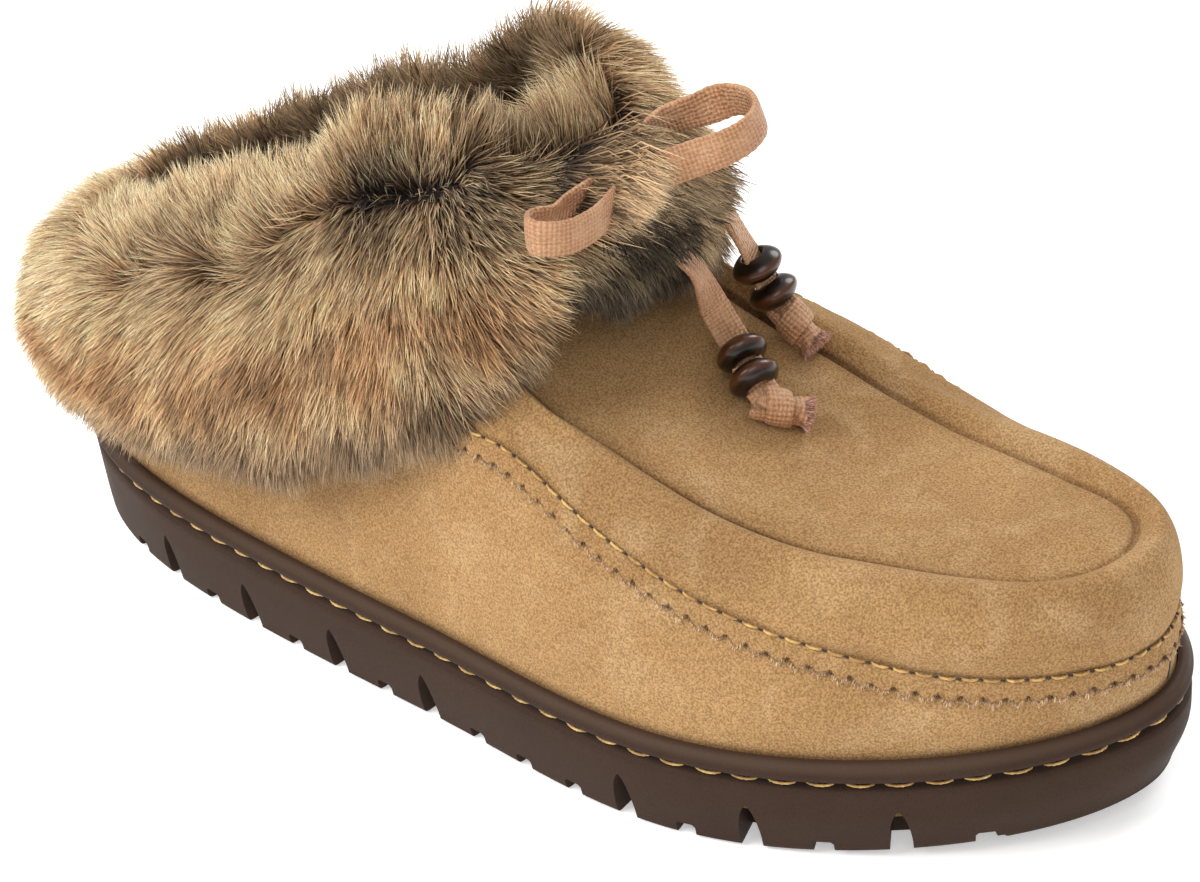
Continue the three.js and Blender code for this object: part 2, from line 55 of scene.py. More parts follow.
# The camera, fitted to the sole's curves in the photograph: azimuth, elevation and roll in degrees
CAMERA_ANGLES = (41.501, 33.032, -6.103)
CAMERA_PLACE = (425.3, -470.8, 459.7)
CAMERA_LENS = 110.96
SENSOR_WIDTH = 36.0

FLOOR_HALF = 6000.0
FLOOR_LOW = -0.05
FLOOR_GLOW = 0.40
WORLD_STRENGTH = 0.55
LIGHTS_AIM = np.array([0.0, 0.0, 0.05])
# name, place in metres, size, power, colour
LIGHTS = (
    ("key", (-0.50, -0.85, 1.05), 0.85, 14.8, (1.0, 0.985, 0.96)),
    ("fill", (0.75, -0.75, 1.1), 0.9, 4.2, (0.98, 0.99, 1.0)),
    ("rim", (0.1, 1.1, 0.9), 0.8, 9.0, (1.0, 1.0, 1.0)),
)

# Driving dimensions, the same as the solids'. A station's place, at, is -1 at the heel and 1 at the toe
SOLE_LENGTH = 267.0
HEEL_ROUNDING = (3.2, 2.07)
TOE_ROUNDING = (3.78, 1.84)
RIM_RISE = 4.95
RIM_INSET = 1.9
GAP = 0.3
WALL = 3.6
INSOLE_EASE = 1.0
INSOLE_THICKNESS = 6.0
TOE_SPRING = 5.4
TOE_SPRING_START = 0.4067
HEEL_LIFT = 1.9
HEEL_LIFT_START = 0.5
SHANK_LIFT = 0.2
GROOVE_LEVEL = (20.7, 17.6)
FLOOR_LEVEL = (11, 8)

# at, half width, shift to the inner side, arch drawn in
PLAN = np.array([
    (-1.0, 38.7, 0.0, 0.0),
    (-0.63, 38.8, 0.0, 0.0),
    (-0.08, 42.0, 0.0, 2.5),
    (0.43, 52.5, 6.4, 0.0),
    (1.0, 44.5, 14.0, 0.0),
])
# at, then how far in and how high: wall, seam, bulge, shoulder, crest, crease
SECTIONS = np.array([
    (-1.0, 3.4, 45, 7.0, 66, 9.0, 78, 11, 90, 14, 100, 22, 107),
    (-0.6, 3.8, 45, 7.5, 68, 9.5, 80, 11, 91, 14, 101, 22, 108),
    (-0.2, 3.2, 44, 8.0, 72, 10.5, 82, 12, 91, 14, 99, 20, 104),
    (0.1, 2.6, 42, 8.0, 73.3, 11.5, 77.2, 14, 80.6, 15.8, 83.2, 19, 80.2),
    (0.305, 2.6, 40, 8.0, 62.3, 12.0, 66.0, 16.4, 68.6, 20, 70.2, 24, 67.4),
    (0.47, 2.8, 38, 8.0, 52.8, 10.2, 56.2, 16, 59, 21, 61.8, 25.4, 60.2),
    (0.63, 2.8, 35, 8.0, 46.4, 8.4, 50.6, 13.6, 54.8, 20, 58.6, 25, 56.6),
    (0.815, 2.4, 33, 6.0, 41.4, 5.2, 48.0, 9.2, 54.6, 16, 58.4, 21.6, 56),
    (1.0, 1.6, 32, 1.8, 39.6, 0.8, 47.0, 1.8, 54.6, 4.4, 59, 9.6, 56.8),
])
LEVELS = {"wall": 0, "seam": 2, "bulge": 4, "shoulder": 6, "crest": 8, "crease": 10}
OUTER_LEVELS = tuple(LEVELS)
INNER_LEVELS = ("wall", "seam", "bulge", "shoulder", "crease")
# The upper's top line from the heel to the instep, seen from the side
TOP_LINE = ((-150, 56), (-112, 62), (-60, 80), (-24, 86), (-8, 81), (4, 77))

# The lace: flat, so wide and so thick, with a section so square, along the same routes as the solids. The
# routes' points were picked in the photograph and put in space with the fitted camera.
LACE_WIDE = 6.5
LACE_THICK = 1.5
LACE_SQUARE = 3.4
LOOP_WIDE = 7.4
LACE_STEP = 0.55
BOW_KNOT = np.array([26.2, -4.5, 118.2])
BOW_KNOT_AXIS = [0.75, 0.66, 0.12]
# A knot's radius, the width of the lace wrapped round it, how many turns that makes
BOW_KNOT_SIZE = (2.5, 4.6, 1.3)
END_KNOT_SIZE = (2.75, 5.4, 1.15)
ROUTES = {
    "bow_loop_outer": [
        [24.2, -6, 118.2], [23.9, -9.6, 118.3], [23.4, -13.4, 118.6], [22.6, -19.2, 118.6],
        [21.9, -25, 118.6], [22.8, -29.6, 119.2], [26.5, -31.3, 119.6], [30.2, -27.6, 119],
        [31, -22, 118.5], [30.4, -17, 118.2], [29.2, -12.4, 118.1], [28.4, -9, 118.1], [28.2, -6, 118.2],
    ],
    "bow_loop_inner": [
        [26, -2.4, 119.4], [23.9, 1.4, 120.4], [22.4, 6.3, 121.6], [23.6, 11, 123], [28.7, 15.4, 124.8],
        [34, 19.5, 126.6], [39.4, 19.5, 127], [43.1, 16.4, 126.4], [43.6, 12.4, 125.3], [41.3, 8, 123.8],
        [36.3, 3.4, 122], [32, -0.6, 120.4], [28.9, -3.4, 118.9],
    ],
    "lace_end_outer": [
        [25.8, -6.4, 115.6], [27.9, -4.4, 110.6], [29.4, -0.6, 105.4], [30.8, 4, 99.6], [31, 8, 94],
        [30.6, 11, 88], [30.8, 13.2, 82.4], [33.8, 13.4, 77.4], [37.8, 11.9, 74.6], [42.8, 8.8, 72.2],
        [47.9, 7.4, 68.3],
    ],
    "lace_end_inner": [
        [27.8, -2.2, 115.9], [29.8, 2.8, 112.6], [30.2, 9, 109], [29.8, 14.5, 105.6], [28.9, 19.5, 102],
        [27.6, 23.5, 97.4], [28.4, 26, 91.7], [30.4, 28.2, 84.3], [33.3, 29.1, 78.3], [37.2, 29.3, 73.5],
    ],
}
# The way that the lace's broad face looks, at even steps from its start to its end
FACES = {
    "bow_loop_outer": ([-1, -0.1, 0.1], [0.1, -1, 0.1], [1, 0, -0.1]),
    "bow_loop_inner": ([-1, 0.4, 0.25], [0.8, 0.6, 0.2], [0.7, -0.7, 0.3]),
    "lace_end_outer": ([0.8, 0.4, 0.4], [0.8, 0.42, 0.38], [0.7, -0.5, 0.5], [-0.2, -0.5, 0.85]),
    "lace_end_inner": ([0.85, 0.43, 0.31], [0.85, 0.43, 0.31], [0.8, 0.3, 0.45], [0.3, -0.5, 0.8]),
}
# side: the route's points that carry its beads, where its tuft points, how many fibres the tuft has
ENDS = {
    "outer": ((8, 9), (52.4, 11, 66.2), 900),
    "inner": ((7, 8), (42.2, 29.4, 69.1), 860),
}
STUB_REACH = (0.8, 7.0)
TUFT_FROM = 6.2
TUFT_RADIUS = 2.7
TUFT_LONG = 2.6
TUFT_SPREAD = 0.5
TUFT_WIDE = 0.30
TUFT_DARK = np.array([0.42, 0.20, 0.13])
TUFT_LIGHT = np.array([0.74, 0.45, 0.34])
# Half of a bead's section from its hole to its rim: out from the axis, along the axis
BEAD_SECTION = [
    (2.25, -1.6), (2.3, -2.2), (2.65, -2.55), (3.2, -2.45), (3.9, -2.05), (4.6, -1.45), (5.1, -0.8),
    (5.32, -0.28),
]


# Small tools for shapes

def unit(v):
    return v / np.maximum(np.linalg.norm(v, axis=-1, keepdims=True), 1e-9)


def smoothstep(low, high, x):
    t = np.clip((x - low) / (high - low), 0.0, 1.0)
    return t * t * (3 - 2 * t)


def bell(x, width):
    return np.exp(-(x / width) ** 2)


def rounded(v, power):
    """A circle's cosine or sine, pushed out towards a rounded square's."""
    return np.sign(v) * np.abs(v) ** (2 / power)


def circle(count):
    return np.arange(count) * FULL_TURN / count


def two_ways(way, hint):
    """Two ways square to the given one and to each other."""
    first = unit(np.cross(way, hint))
    return first, np.cross(way, first)


def smooth_rows(at, value):
    """A smooth curve through rows, with no overshoot between them."""
    step = np.diff(at)
    rise = np.diff(value) / step
    slope = np.empty(len(at))
    slope[0] = rise[0]
    slope[-1] = rise[-1]
    for i in range(1, len(at) - 1):
        if rise[i - 1] * rise[i] <= 0:
            slope[i] = 0
        else:
            before = 2 * step[i] + step[i - 1]
            after = step[i] + 2 * step[i - 1]
            slope[i] = (before + after) / (before / rise[i - 1] + after / rise[i])

    def curve(x):
        x = np.clip(x, at[0], at[-1])
        i = np.clip(np.searchsorted(at, x, side="right") - 1, 0, len(step) - 1)
        t = (x - at[i]) / step[i]
        t2 = t * t
        t3 = t2 * t
        return (value[i] * (2 * t3 - 3 * t2 + 1) + slope[i] * step[i] * (t3 - 2 * t2 + t)
                + value[i + 1] * (3 * t2 - 2 * t3) + slope[i + 1] * step[i] * (t3 - t2))
    return curve


def columns(table):
    """A smooth curve for each column of a table after its first."""
    return [smooth_rows(table[:, 0], table[:, k]) for k in range(1, table.shape[1])]


def through(points, share):
    """Centripetal curve through points (k, ..., 3), at shares from 0 to 1 of its spans: (s, ..., 3)."""
    points = np.asarray(points, float)
    last = len(points) - 1
    padded = np.concatenate([2 * points[:1] - points[1:2], points, 2 * points[-1:] - points[-2:-1]])
    out = []
    for place in np.clip(np.asarray(share, float) * last, 0, last):
        i = min(int(place), last - 1)
        w = place - i
        a, b, c, d = padded[i:i + 4]
        g0, g1, g2 = [np.maximum(np.linalg.norm(q - r, axis=-1, keepdims=True) ** 0.5, 1e-4)
                      for q, r in ((b, a), (c, b), (d, c))]
        t1 = ((b - a) / g0 - (c - a) / (g0 + g1) + (c - b) / g1) * g1
        t2 = ((c - b) / g1 - (d - b) / (g1 + g2) + (d - c) / g2) * g2 * g1 / g2
        out.append(b + t1 * w + (-3 * b + 3 * c - 2 * t1 - t2) * w ** 2
                   + (2 * b - 2 * c + t1 + t2) * w ** 3)
    return np.array(out)


def running(points):
    """The length run along points (n, ..., 3) to each of them."""
    steps = np.linalg.norm(np.diff(points, axis=0), axis=-1)
    return np.concatenate([np.zeros_like(steps[:1]), np.cumsum(steps, axis=0)])


def at_run(where, run, values):
    """The columns of values (n, k) where the run has these lengths."""
    return np.stack([np.interp(where, run, column) for column in values.T], axis=-1)


def waves(points, size, seed):
    """Soft random unevenness over space, about -1 to 1, with bumps of about this size."""
    draw = np.random.default_rng(seed)
    ways = unit(draw.normal(size=(WAVES, 3))) * (FULL_TURN / size) * draw.uniform(0.5, 1.3, (WAVES, 1))
    phase = draw.uniform(0, FULL_TURN, WAVES)
    return np.sin(points @ ways.T + phase).sum(-1) / math.sqrt(WAVES) * 0.9


def layered(points, *rows):
    """Several sizes of unevenness together, each row its size, seed and amount."""
    return sum(waves(points, size, seed) * amount for size, seed, amount in rows)


def tree_of(points):
    tree = KDTree(len(points))
    for number, point in enumerate(points):
        tree.insert(point, number)
    tree.balance()
    return tree


# Small tools for meshes

def link(name, data):
    made = bpy.data.objects.new(name, data)
    bpy.context.scene.collection.objects.link(made)
    return made


def set_values(mesh, key, value):
    """Numbers or colours, one for each point of the mesh, that its material reads."""
    value = np.asarray(value, np.float32)
    kind, field = ("FLOAT", "value") if value.ndim == 1 else ("FLOAT_COLOR", "color")
    mesh.attributes.new(key, kind, "POINT").data.foreach_set(field, value.ravel())


def make_mesh(name, points, faces, smooth=True, marks=None):
    """points in millimetres, faces a list of arrays, each of faces with equal counts of corners."""
    mesh = bpy.data.meshes.new(name)
    mesh.vertices.add(len(points))
    mesh.vertices.foreach_set("co", ((points + MIDDLE) * MM).astype(np.float32).ravel())
    flat = np.concatenate([c.ravel() for c in faces]).astype(np.int32)
    sizes = np.concatenate([np.full(len(c), c.shape[1]) for c in faces])
    mesh.loops.add(len(flat))
    mesh.loops.foreach_set("vertex_index", flat)
    mesh.polygons.add(len(sizes))
    mesh.polygons.foreach_set("loop_start", np.concatenate([[0], np.cumsum(sizes)[:-1]]).astype(np.int32))
    mesh.update(calc_edges=True)
    if smooth:
        mesh.shade_smooth()
    for key, value in (marks or {}).items():
        set_values(mesh, key, value)
    return mesh


def mesh_points(mesh):
    """A mesh's points, back in millimetres about the middle of the sole."""
    flat = np.empty(len(mesh.vertices) * 3, np.float32)
    mesh.vertices.foreach_get("co", flat)
    return flat.reshape(-1, 3) / MM - MIDDLE


def give_place(piece, stands_for):
    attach(piece, BODY)
    if stands_for:
        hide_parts(*stands_for)


def add_piece(name, form, material, stands_for=(), marks=None):
    """A piece from its form, which is its points and its faces."""
    mesh = make_mesh(name, *form, marks=marks)
    mesh.materials.append(material)
    piece = link(name, mesh)
    give_place(piece, stands_for)
    return piece


def grid_faces(rows, count, closed_rows=False, closed_count=True):
    """Faces between rows of points, each row a ring unless closed_count is false."""
    r = np.arange(rows if closed_rows else rows - 1)
    i = np.arange(count if closed_count else count - 1)
    rr, ii = np.meshgrid(r, i, indexing="ij")
    nr = (rr + 1) % rows
    ni = (ii + 1) % count
    faces = np.stack([rr * count + ii, rr * count + ni, nr * count + ni, nr * count + ii], axis=-1)
    return faces.reshape(-1, 4)


def end_caps(rows, count):
    """A face over the first row and one over the last."""
    return np.array([np.arange(count)[::-1], np.arange(count) + (rows - 1) * count])


def cross_faces(count, first, turn):
    """Faces straight across a ring of stations from one side to the other: threes and fours."""
    half = count // 2
    i = np.arange(1, half - 1)
    fours = np.stack([i, count - i, count - i - 1, i + 1], axis=1)
    threes = np.array([[0, count - 1, 1], [half - 1, half + 1, half]])
    return threes[:, ::turn] + first, fours[:, ::turn] + first


def loft(rings):
    """Points and faces of a closed form from rings (r, n, 3), closed straight across at both ends."""
    rows, count = rings.shape[:2]
    low3, low4 = cross_faces(count, 0, 1)
    top3, top4 = cross_faces(count, (rows - 1) * count, -1)
    fours = np.concatenate([grid_faces(rows, count), low4, top4])
    return rings.reshape(-1, 3), [fours, np.concatenate([low3, top3])]


def tube(path, section, facing):
    """Points and faces of a bar along path (n, 3). section (k, 2) is across and along facing."""
    n = len(path)
    ahead = np.roll(path, -1, 0) - np.roll(path, 1, 0)
    ahead[0] = path[1] - path[0]
    ahead[-1] = path[-1] - path[-2]
    ahead = unit(ahead)
    across = unit(np.cross(ahead, facing))
    normal = np.cross(across, ahead)
    section = np.broadcast_to(section, (n,) + np.shape(section)[-2:])
    k = section.shape[1]
    points = path[:, None] + across[:, None] * section[..., :1] + normal[:, None] * section[..., 1:]
    return points.reshape(-1, 3), [grid_faces(n, k), end_caps(n, k)]


def round_section(count, wide, thick):
    angle = circle(count)
    return np.stack([np.cos(angle) * wide, np.sin(angle) * thick], axis=-1)


def prism(outline, ways, origin, depth):
    """A closed prism: outline (k, 2) in the plane of the first two ways, run along the third."""
    a, b, c = ways
    front = origin + outline[:, :1] * a + outline[:, 1:] * b
    k = len(outline)
    i = np.arange(k)
    sides = np.stack([i, (i + 1) % k, k + (i + 1) % k, k + i], axis=1)
    faces = [sides, i[None, ::-1], (i + k)[None]]
    if np.dot(np.cross(a, b), c) < 0:
        faces = [f[:, ::-1] for f in faces]
    return np.concatenate([front, front + c * depth]), faces


def joined(parts):
    """One set of points and faces from several."""
    groups = {}
    base = 0
    for points, faces in parts:
        for f in faces:
            groups.setdefault(f.shape[1], []).append(f + base)
        base += len(points)
    return np.concatenate([points for points, _ in parts]), [np.concatenate(g) for g in groups.values()]


def cut(piece, name, parts):
    """Cuts closed forms out of the piece."""
    cutter = link(name, make_mesh(name, *joined(parts), smooth=False))
    step = piece.modifiers.new(name, "BOOLEAN")
    step.operation = "DIFFERENCE"
    step.object = cutter
    step.solver = "MANIFOLD"
    depsgraph = bpy.context.evaluated_depsgraph_get()
    done = bpy.data.meshes.new_from_object(piece.evaluated_get(depsgraph), depsgraph=depsgraph)
    piece.modifiers.clear()
    piece.data = done
    bpy.data.objects.remove(cutter)


def finish_cut(piece, materials, slot, node, sharp, **values):
    """A cut piece's values, materials and place. Its edges stay sharp past an angle in degrees."""
    mesh = piece.data
    for key, value in values.items():
        set_values(mesh, key, value)
    mesh.shade_smooth()
    mesh.set_sharp_from_angle(angle=math.radians(sharp))
    mesh.materials.clear()
    for material in materials:
        mesh.materials.append(material)
    give_place(piece, (node,))


# Materials

class Paint:
    """Builds one material's nodes. Noise and cells lie in the part's own space, with scales in 1/m."""

    def __init__(self, name, **shader):
        self.material = bpy.data.materials.new(name)
        self.material.use_nodes = True
        self.tree = self.material.node_tree
        self.tree.nodes.clear()
        self.shader = self.tree.nodes.new("ShaderNodeBsdfPrincipled")
        out = self.tree.nodes.new("ShaderNodeOutputMaterial")
        self.tree.links.new(self.shader.outputs[0], out.inputs[0])
        self.place = self.tree.nodes.new("ShaderNodeTexCoord").outputs["Object"]
        self.give(**shader)

    def feed(self, node, name, value):
        socket = node.inputs[name]
        if isinstance(value, bpy.types.NodeSocket):
            self.tree.links.new(value, socket)
        elif isinstance(value, tuple):
            socket.default_value = (*value, 1.0)
        else:
            socket.default_value = value

    def give(self, **inputs):
        for key, value in inputs.items():
            self.feed(self.shader, key.replace("_", " "), value)
        return self.material

    def node(self, kind, output=0, settings=None, **inputs):
        """A node whose inputs are named, or numbered after an underscore."""
        made = self.tree.nodes.new(kind)
        for key, value in (settings or {}).items():
            setattr(made, key, value)
        for key, value in inputs.items():
            self.feed(made, int(key[1:]) if key[0] == "_" else key.replace("_", " "), value)
        return made.outputs[output]

    def noise(self, scale, detail=2.0, roughness=0.5, distortion=0.0):
        return self.node("ShaderNodeTexNoise", Vector=self.place, Scale=scale, Detail=detail,
                         Roughness=roughness, Distortion=distortion)

    def math(self, operation, a, b=0.0):
        return self.node("ShaderNodeMath", 0, {"operation": operation}, _0=a, _1=b)

    def fit(self, value, low, high, to_low=0.0, to_high=1.0):
        return self.node("ShaderNodeMapRange", 0, {"clamp": True}, Value=value, From_Min=low, From_Max=high,
                         To_Min=to_low, To_Max=to_high)

    def mix(self, share, a, b, how="MIX"):
        return self.node("ShaderNodeMix", 2, {"data_type": "RGBA", "blend_type": how}, _0=share, _6=a, _7=b)

    def times(self, tone, share, low, high):
        """The tone multiplied by a colour between low and high."""
        return self.mix(1.0, tone, self.mix(share, low, high), "MULTIPLY")

    def attribute(self, name, output="Fac"):
        return self.node("ShaderNodeAttribute", output, {"attribute_name": name})

    def bumps(self, *layers):
        """Layers of bump, one on the other: height, strength, depth in metres."""
        normal = {}
        for height, strength, distance in layers:
            made = self.node("ShaderNodeBump", Height=height, Strength=strength, Distance=distance,
                             **normal)
            normal = {"Normal": made}
        return normal["Normal"]


def suede_material():
    p = Paint("suede", Roughness=0.95, Sheen_Weight=0.08, Sheen_Roughness=0.5, Specular_IOR_Level=0.12,
              Sheen_Tint=(1.0, 0.84, 0.6))
    nap = p.noise(2300.0, 2.0, 0.55)
    patches = p.fit(p.noise(22.0, 3.0, 0.5, 0.5), 0.36, 0.66)
    tone = p.mix(patches, (0.338, 0.192, 0.080), (0.418, 0.249, 0.109))
    tone = p.mix(p.fit(p.noise(60.0, 3.0, 0.5, 1.0), 0.50, 0.78, 0.0, 0.6), tone, (0.50, 0.332, 0.174))
    tone = p.times(tone, p.fit(nap, 0.36, 0.64), (0.68, 0.645, 0.60), (1.27, 1.29, 1.32))
    tone = p.times(tone, p.fit(p.attribute("shade"), 0.0, 1.0), (1.0, 1.0, 1.0), (0.22, 0.14, 0.10))
    return p.give(Base_Color=tone, Normal=p.bumps((nap, 0.6, 0.0003), (p.noise(4200.0, 1.0), 0.4, 0.00015)))


def rubber_material():
    p = Paint("rubber", Coat_Weight=0.0, Specular_IOR_Level=0.07)
    cells = p.node("ShaderNodeTexVoronoi", 0, {"feature": "DISTANCE_TO_EDGE"}, Vector=p.place, Scale=1500.0,
                   Randomness=1.0)
    worn = p.noise(60.0, 3.0, 0.55)
    wear = p.attribute("wear")
    tone = p.mix(p.fit(worn, 0.3, 0.7), (0.042, 0.0235, 0.0155), (0.054, 0.031, 0.0210))
    tone = p.mix(p.fit(cells, 0.0, 0.12, 0.45, 0.0), tone, (0.030, 0.016, 0.0105))
    # Painted highlight: the rim's top is lightened as if it caught the light, and its roughness is lowered
    tone = p.mix(p.fit(wear, 0.0, 1.0, 0.0, 0.45), tone, (0.105, 0.066, 0.046))
    tone = p.mix(p.fit(p.attribute("shade"), 0.0, 1.0), tone, (0.009, 0.0055, 0.004))
    rough = p.math("ADD", p.fit(worn, 0.3, 0.7, 0.50, 0.62), p.fit(wear, 0, 1, 0.0, -0.1))
    grain = p.bumps((p.fit(cells, 0.0, 0.3), 0.3, 0.00012), (p.noise(2400.0, 3.0, 0.6), 0.25, 0.0001))
    return p.give(Base_Color=tone, Roughness=rough, Normal=grain)


def thread_material(name, bright, dark):
    p = Paint(name, Roughness=0.5, Sheen_Weight=0.2)
    fibre = p.noise(2600.0, 2.0, 0.7)
    tone = p.mix(p.fit(p.noise(420.0), 0.40, 0.62), dark, bright)
    tone = p.mix(p.fit(fibre, 0.35, 0.75, 0.0, 0.5), tone, tuple(c * 0.45 for c in bright))
    return p.give(Base_Color=tone, Normal=p.bumps((fibre, 0.5, 0.0002)))


def lace_material():
    """A flat braid: two sets of strands that cross, with a waver, loose fibres and lighter patches of
    painted glints.
    """
    p = Paint("lace", Roughness=0.5, Sheen_Weight=0.12, Specular_IOR_Level=0.5)
    waver = p.math("MULTIPLY", p.noise(1100.0, 2.0, 0.6), 1.3)
    strands = []
    for lean in ("ADD", "SUBTRACT"):
        slope = p.math(lean, p.math(lean, p.attribute("along"), p.attribute("across")), waver)
        strands.append(p.math("SINE", p.math("MULTIPLY", slope, FULL_TURN / 1.75)))
    braid = p.math("ADD", p.math("MULTIPLY", p.math("MULTIPLY", *strands), 0.5), 0.5)
    fibre = p.noise(2400.0, 2.0, 0.7)
    tone = p.mix(p.fit(braid, 0.1, 0.85), (0.39, 0.172, 0.074), (0.59, 0.315, 0.155))
    # Painted highlight: random lighter patches that stand for glints on the braid
    tone = p.mix(p.fit(p.noise(230.0), 0.42, 0.7, 0.0, 0.5), tone, (0.70, 0.42, 0.235))
    tone = p.mix(p.fit(fibre, 0.45, 0.8, 0.0, 0.45), tone, (0.27, 0.11, 0.05))
    return p.give(Base_Color=tone, Normal=p.bumps((braid, 0.8, 0.0004), (fibre, 0.4, 0.0002)))


def bead_material():
    p = Paint("bead", Roughness=0.3, Coat_Weight=0.3, Coat_Roughness=0.1, Specular_IOR_Level=0.35)
    rings = p.noise(260.0, 3.0, 0.6, 2.5)
    tone = p.mix(p.fit(rings, 0.35, 0.7), (0.006, 0.003, 0.002), (0.019, 0.008, 0.0042))
    tone = p.mix(p.fit(p.attribute("edge"), 0.55, 1.0, 0.0, 0.6), tone, (0.115, 0.036, 0.010))
    return p.give(Base_Color=tone, Normal=p.bumps((rings, 0.06, 0.0004)))


def hair_material(name, rough):
    """Hair or fibres, which carry their own tint."""
    p = Paint(name, Roughness=rough, Sheen_Weight=0.12, Specular_IOR_Level=0.25)
    streak = p.fit(p.noise(1500.0, 2.0, 0.6), 0.3, 0.7)
    tone = p.times(p.attribute("tint", "Color"), streak, (0.80, 0.79, 0.78), (1.16, 1.16, 1.16))
    return p.give(Base_Color=tone)


def pile_material(name, low, high):
    p = Paint(name, Roughness=0.95, Sheen_Weight=0.3)
    tufts = p.noise(520.0, 3.0, 0.6)
    tone = p.mix(p.fit(tufts, 0.35, 0.65), low, high)
    tone = p.mix(p.fit(p.noise(45.0), 0.4, 0.7, 0.0, 0.4), tone, tuple(c * 0.6 for c in low))
    return p.give(Base_Color=tone, Normal=p.bumps((tufts, 0.9, 0.0015)))


def floor_material():
    p = Paint("floor_paper", Roughness=0.9, Specular_IOR_Level=0.1, Emission_Color=(1.0, 1.0, 1.0),
              Emission_Strength=FLOOR_GLOW)
    return p.give(Base_Color=p.mix(p.fit(p.noise(30.0), 0.3, 0.7), (0.90, 0.90, 0.90), (0.92, 0.92, 0.92)))


# The camera, the floor and the light

def camera_ways():
    """The camera's right, up and back."""
    azimuth, elevation, roll = np.radians(CAMERA_ANGLES)
    back = np.array([math.sin(azimuth) * math.cos(elevation), -math.cos(azimuth) * math.cos(elevation),
                     math.sin(elevation)])
    level = np.array([math.cos(azimuth), math.sin(azimuth), 0.0])
    above = np.cross(back, level)
    right = level * math.cos(roll) + above * math.sin(roll)
    return right, above * math.cos(roll) - level * math.sin(roll), back


def place_object(thing, right, up, back, place):
    """Turns a camera or a lamp, which look against their back, and puts it at a place in metres."""
    rows = np.vstack([np.column_stack([right, up, back, place]), [0, 0, 0, 1]])
    thing.matrix_world = Matrix(rows.tolist())


def build_stage():
    scene = bpy.context.scene
    data = bpy.data.cameras.new("camera")
    data.lens = CAMERA_LENS
    data.sensor_width = SENSOR_WIDTH
    data.sensor_fit = "HORIZONTAL"
    data.clip_start = 0.02
    scene.camera = link("camera", data)
    place_object(scene.camera, *camera_ways(), (np.array(CAMERA_PLACE) + MIDDLE) * MM)

    ends = ((-1, -1), (1, -1), (1, 1), (-1, 1))
    corners = np.array([[x * FLOOR_HALF, y * FLOOR_HALF, FLOOR_LOW] for x, y in ends])
    floor = link("floor", make_mesh("floor", corners, [np.array([[0, 1, 2, 3]])], smooth=False))
    floor.data.materials.append(floor_material())

    world = bpy.data.worlds.new("studio")
    world.use_nodes = True
    background = world.node_tree.nodes["Background"]
    background.inputs["Color"].default_value = (1.0, 1.0, 1.0, 1.0)
    background.inputs["Strength"].default_value = WORLD_STRENGTH
    scene.world = world
    scene.view_settings.view_transform = "Standard"
    for name, place, size, power, colour in LIGHTS:
        lamp = bpy.data.lights.new(name, "AREA")
        lamp.shape = "DISK"
        lamp.size = size
        lamp.energy = power
        lamp.color = colour
        aim = unit(LIGHTS_AIM - place)
        side = unit(np.cross(aim, UP))
        place_object(link(name, lamp), side, np.cross(side, aim), -aim, place)


# The lace

def lace_path(name):
    """The route's points again, evenly a short step apart, and the length run to each."""
    route = ROUTES[name]
    dense = through(route, np.linspace(0, 1, 40 * (len(route) - 1) + 1))
    run = running(dense)
    at = np.linspace(0, run[-1], max(2, int(round(run[-1] / LACE_STEP)) + 1))
    return at_run(at, run, dense), at


def ribbon(path, run, facing, wide):
    """A flat lace's form and marks, with edges that swell a little where the strands turn back."""
    angle = circle(16)
    section = np.stack([rounded(np.cos(angle), LACE_SQUARE) * wide / 2,
                        rounded(np.sin(angle), LACE_SQUARE) * LACE_THICK / 2], axis=1)
    scallop = 1 + 0.02 * np.sin(run * FULL_TURN / 1.9)
    sections = section[None] * np.stack([scallop, np.ones_like(run)], axis=1)[:, None]
    marks = {"along": np.repeat(run, len(section)), "across": sections[..., 0].ravel()}
    return tube(path, sections, facing), marks


def build_knot(name, node, middle, axis, size, material):
    """A band wrapped round a knot's middle, over a rounded core."""
    radius, wide, turns = size
    axis = unit(np.array(axis, float))
    first, second = two_ways(axis, [0.3, 0.2, 1.0])
    angle = np.linspace(0, FULL_TURN * turns, int(60 * turns))
    slide = np.linspace(-0.35, 0.35, len(angle))[:, None] * wide * axis
    reach = radius * (1 + 0.16 * angle / angle[-1])
    path = (middle + (np.cos(angle) * reach)[:, None] * first + (np.sin(angle) * reach)[:, None] * second
            + slide)
    band, marks = ribbon(path, running(path), unit(path - middle - slide), wide)
    core_angle = np.linspace(0, math.pi, 14)[1:-1]
    count = 24
    turn = circle(count)[:, None]
    core = np.array([middle - axis * math.cos(a) * wide * 0.62
                     + (np.cos(turn) * first + np.sin(turn) * second) * math.sin(a) * radius * 0.98
                     for a in core_angle])
    rows = len(core)
    form = joined([band, (core.reshape(-1, 3), [grid_faces(rows, count), end_caps(rows, count)])])
    marks = {"along": np.concatenate([marks["along"], np.repeat(core_angle * 4, count)]),
             "across": np.concatenate([marks["across"], np.tile(np.linspace(-3, 3, count), rows)])}
    return add_piece(name, form, material, (node,), marks)


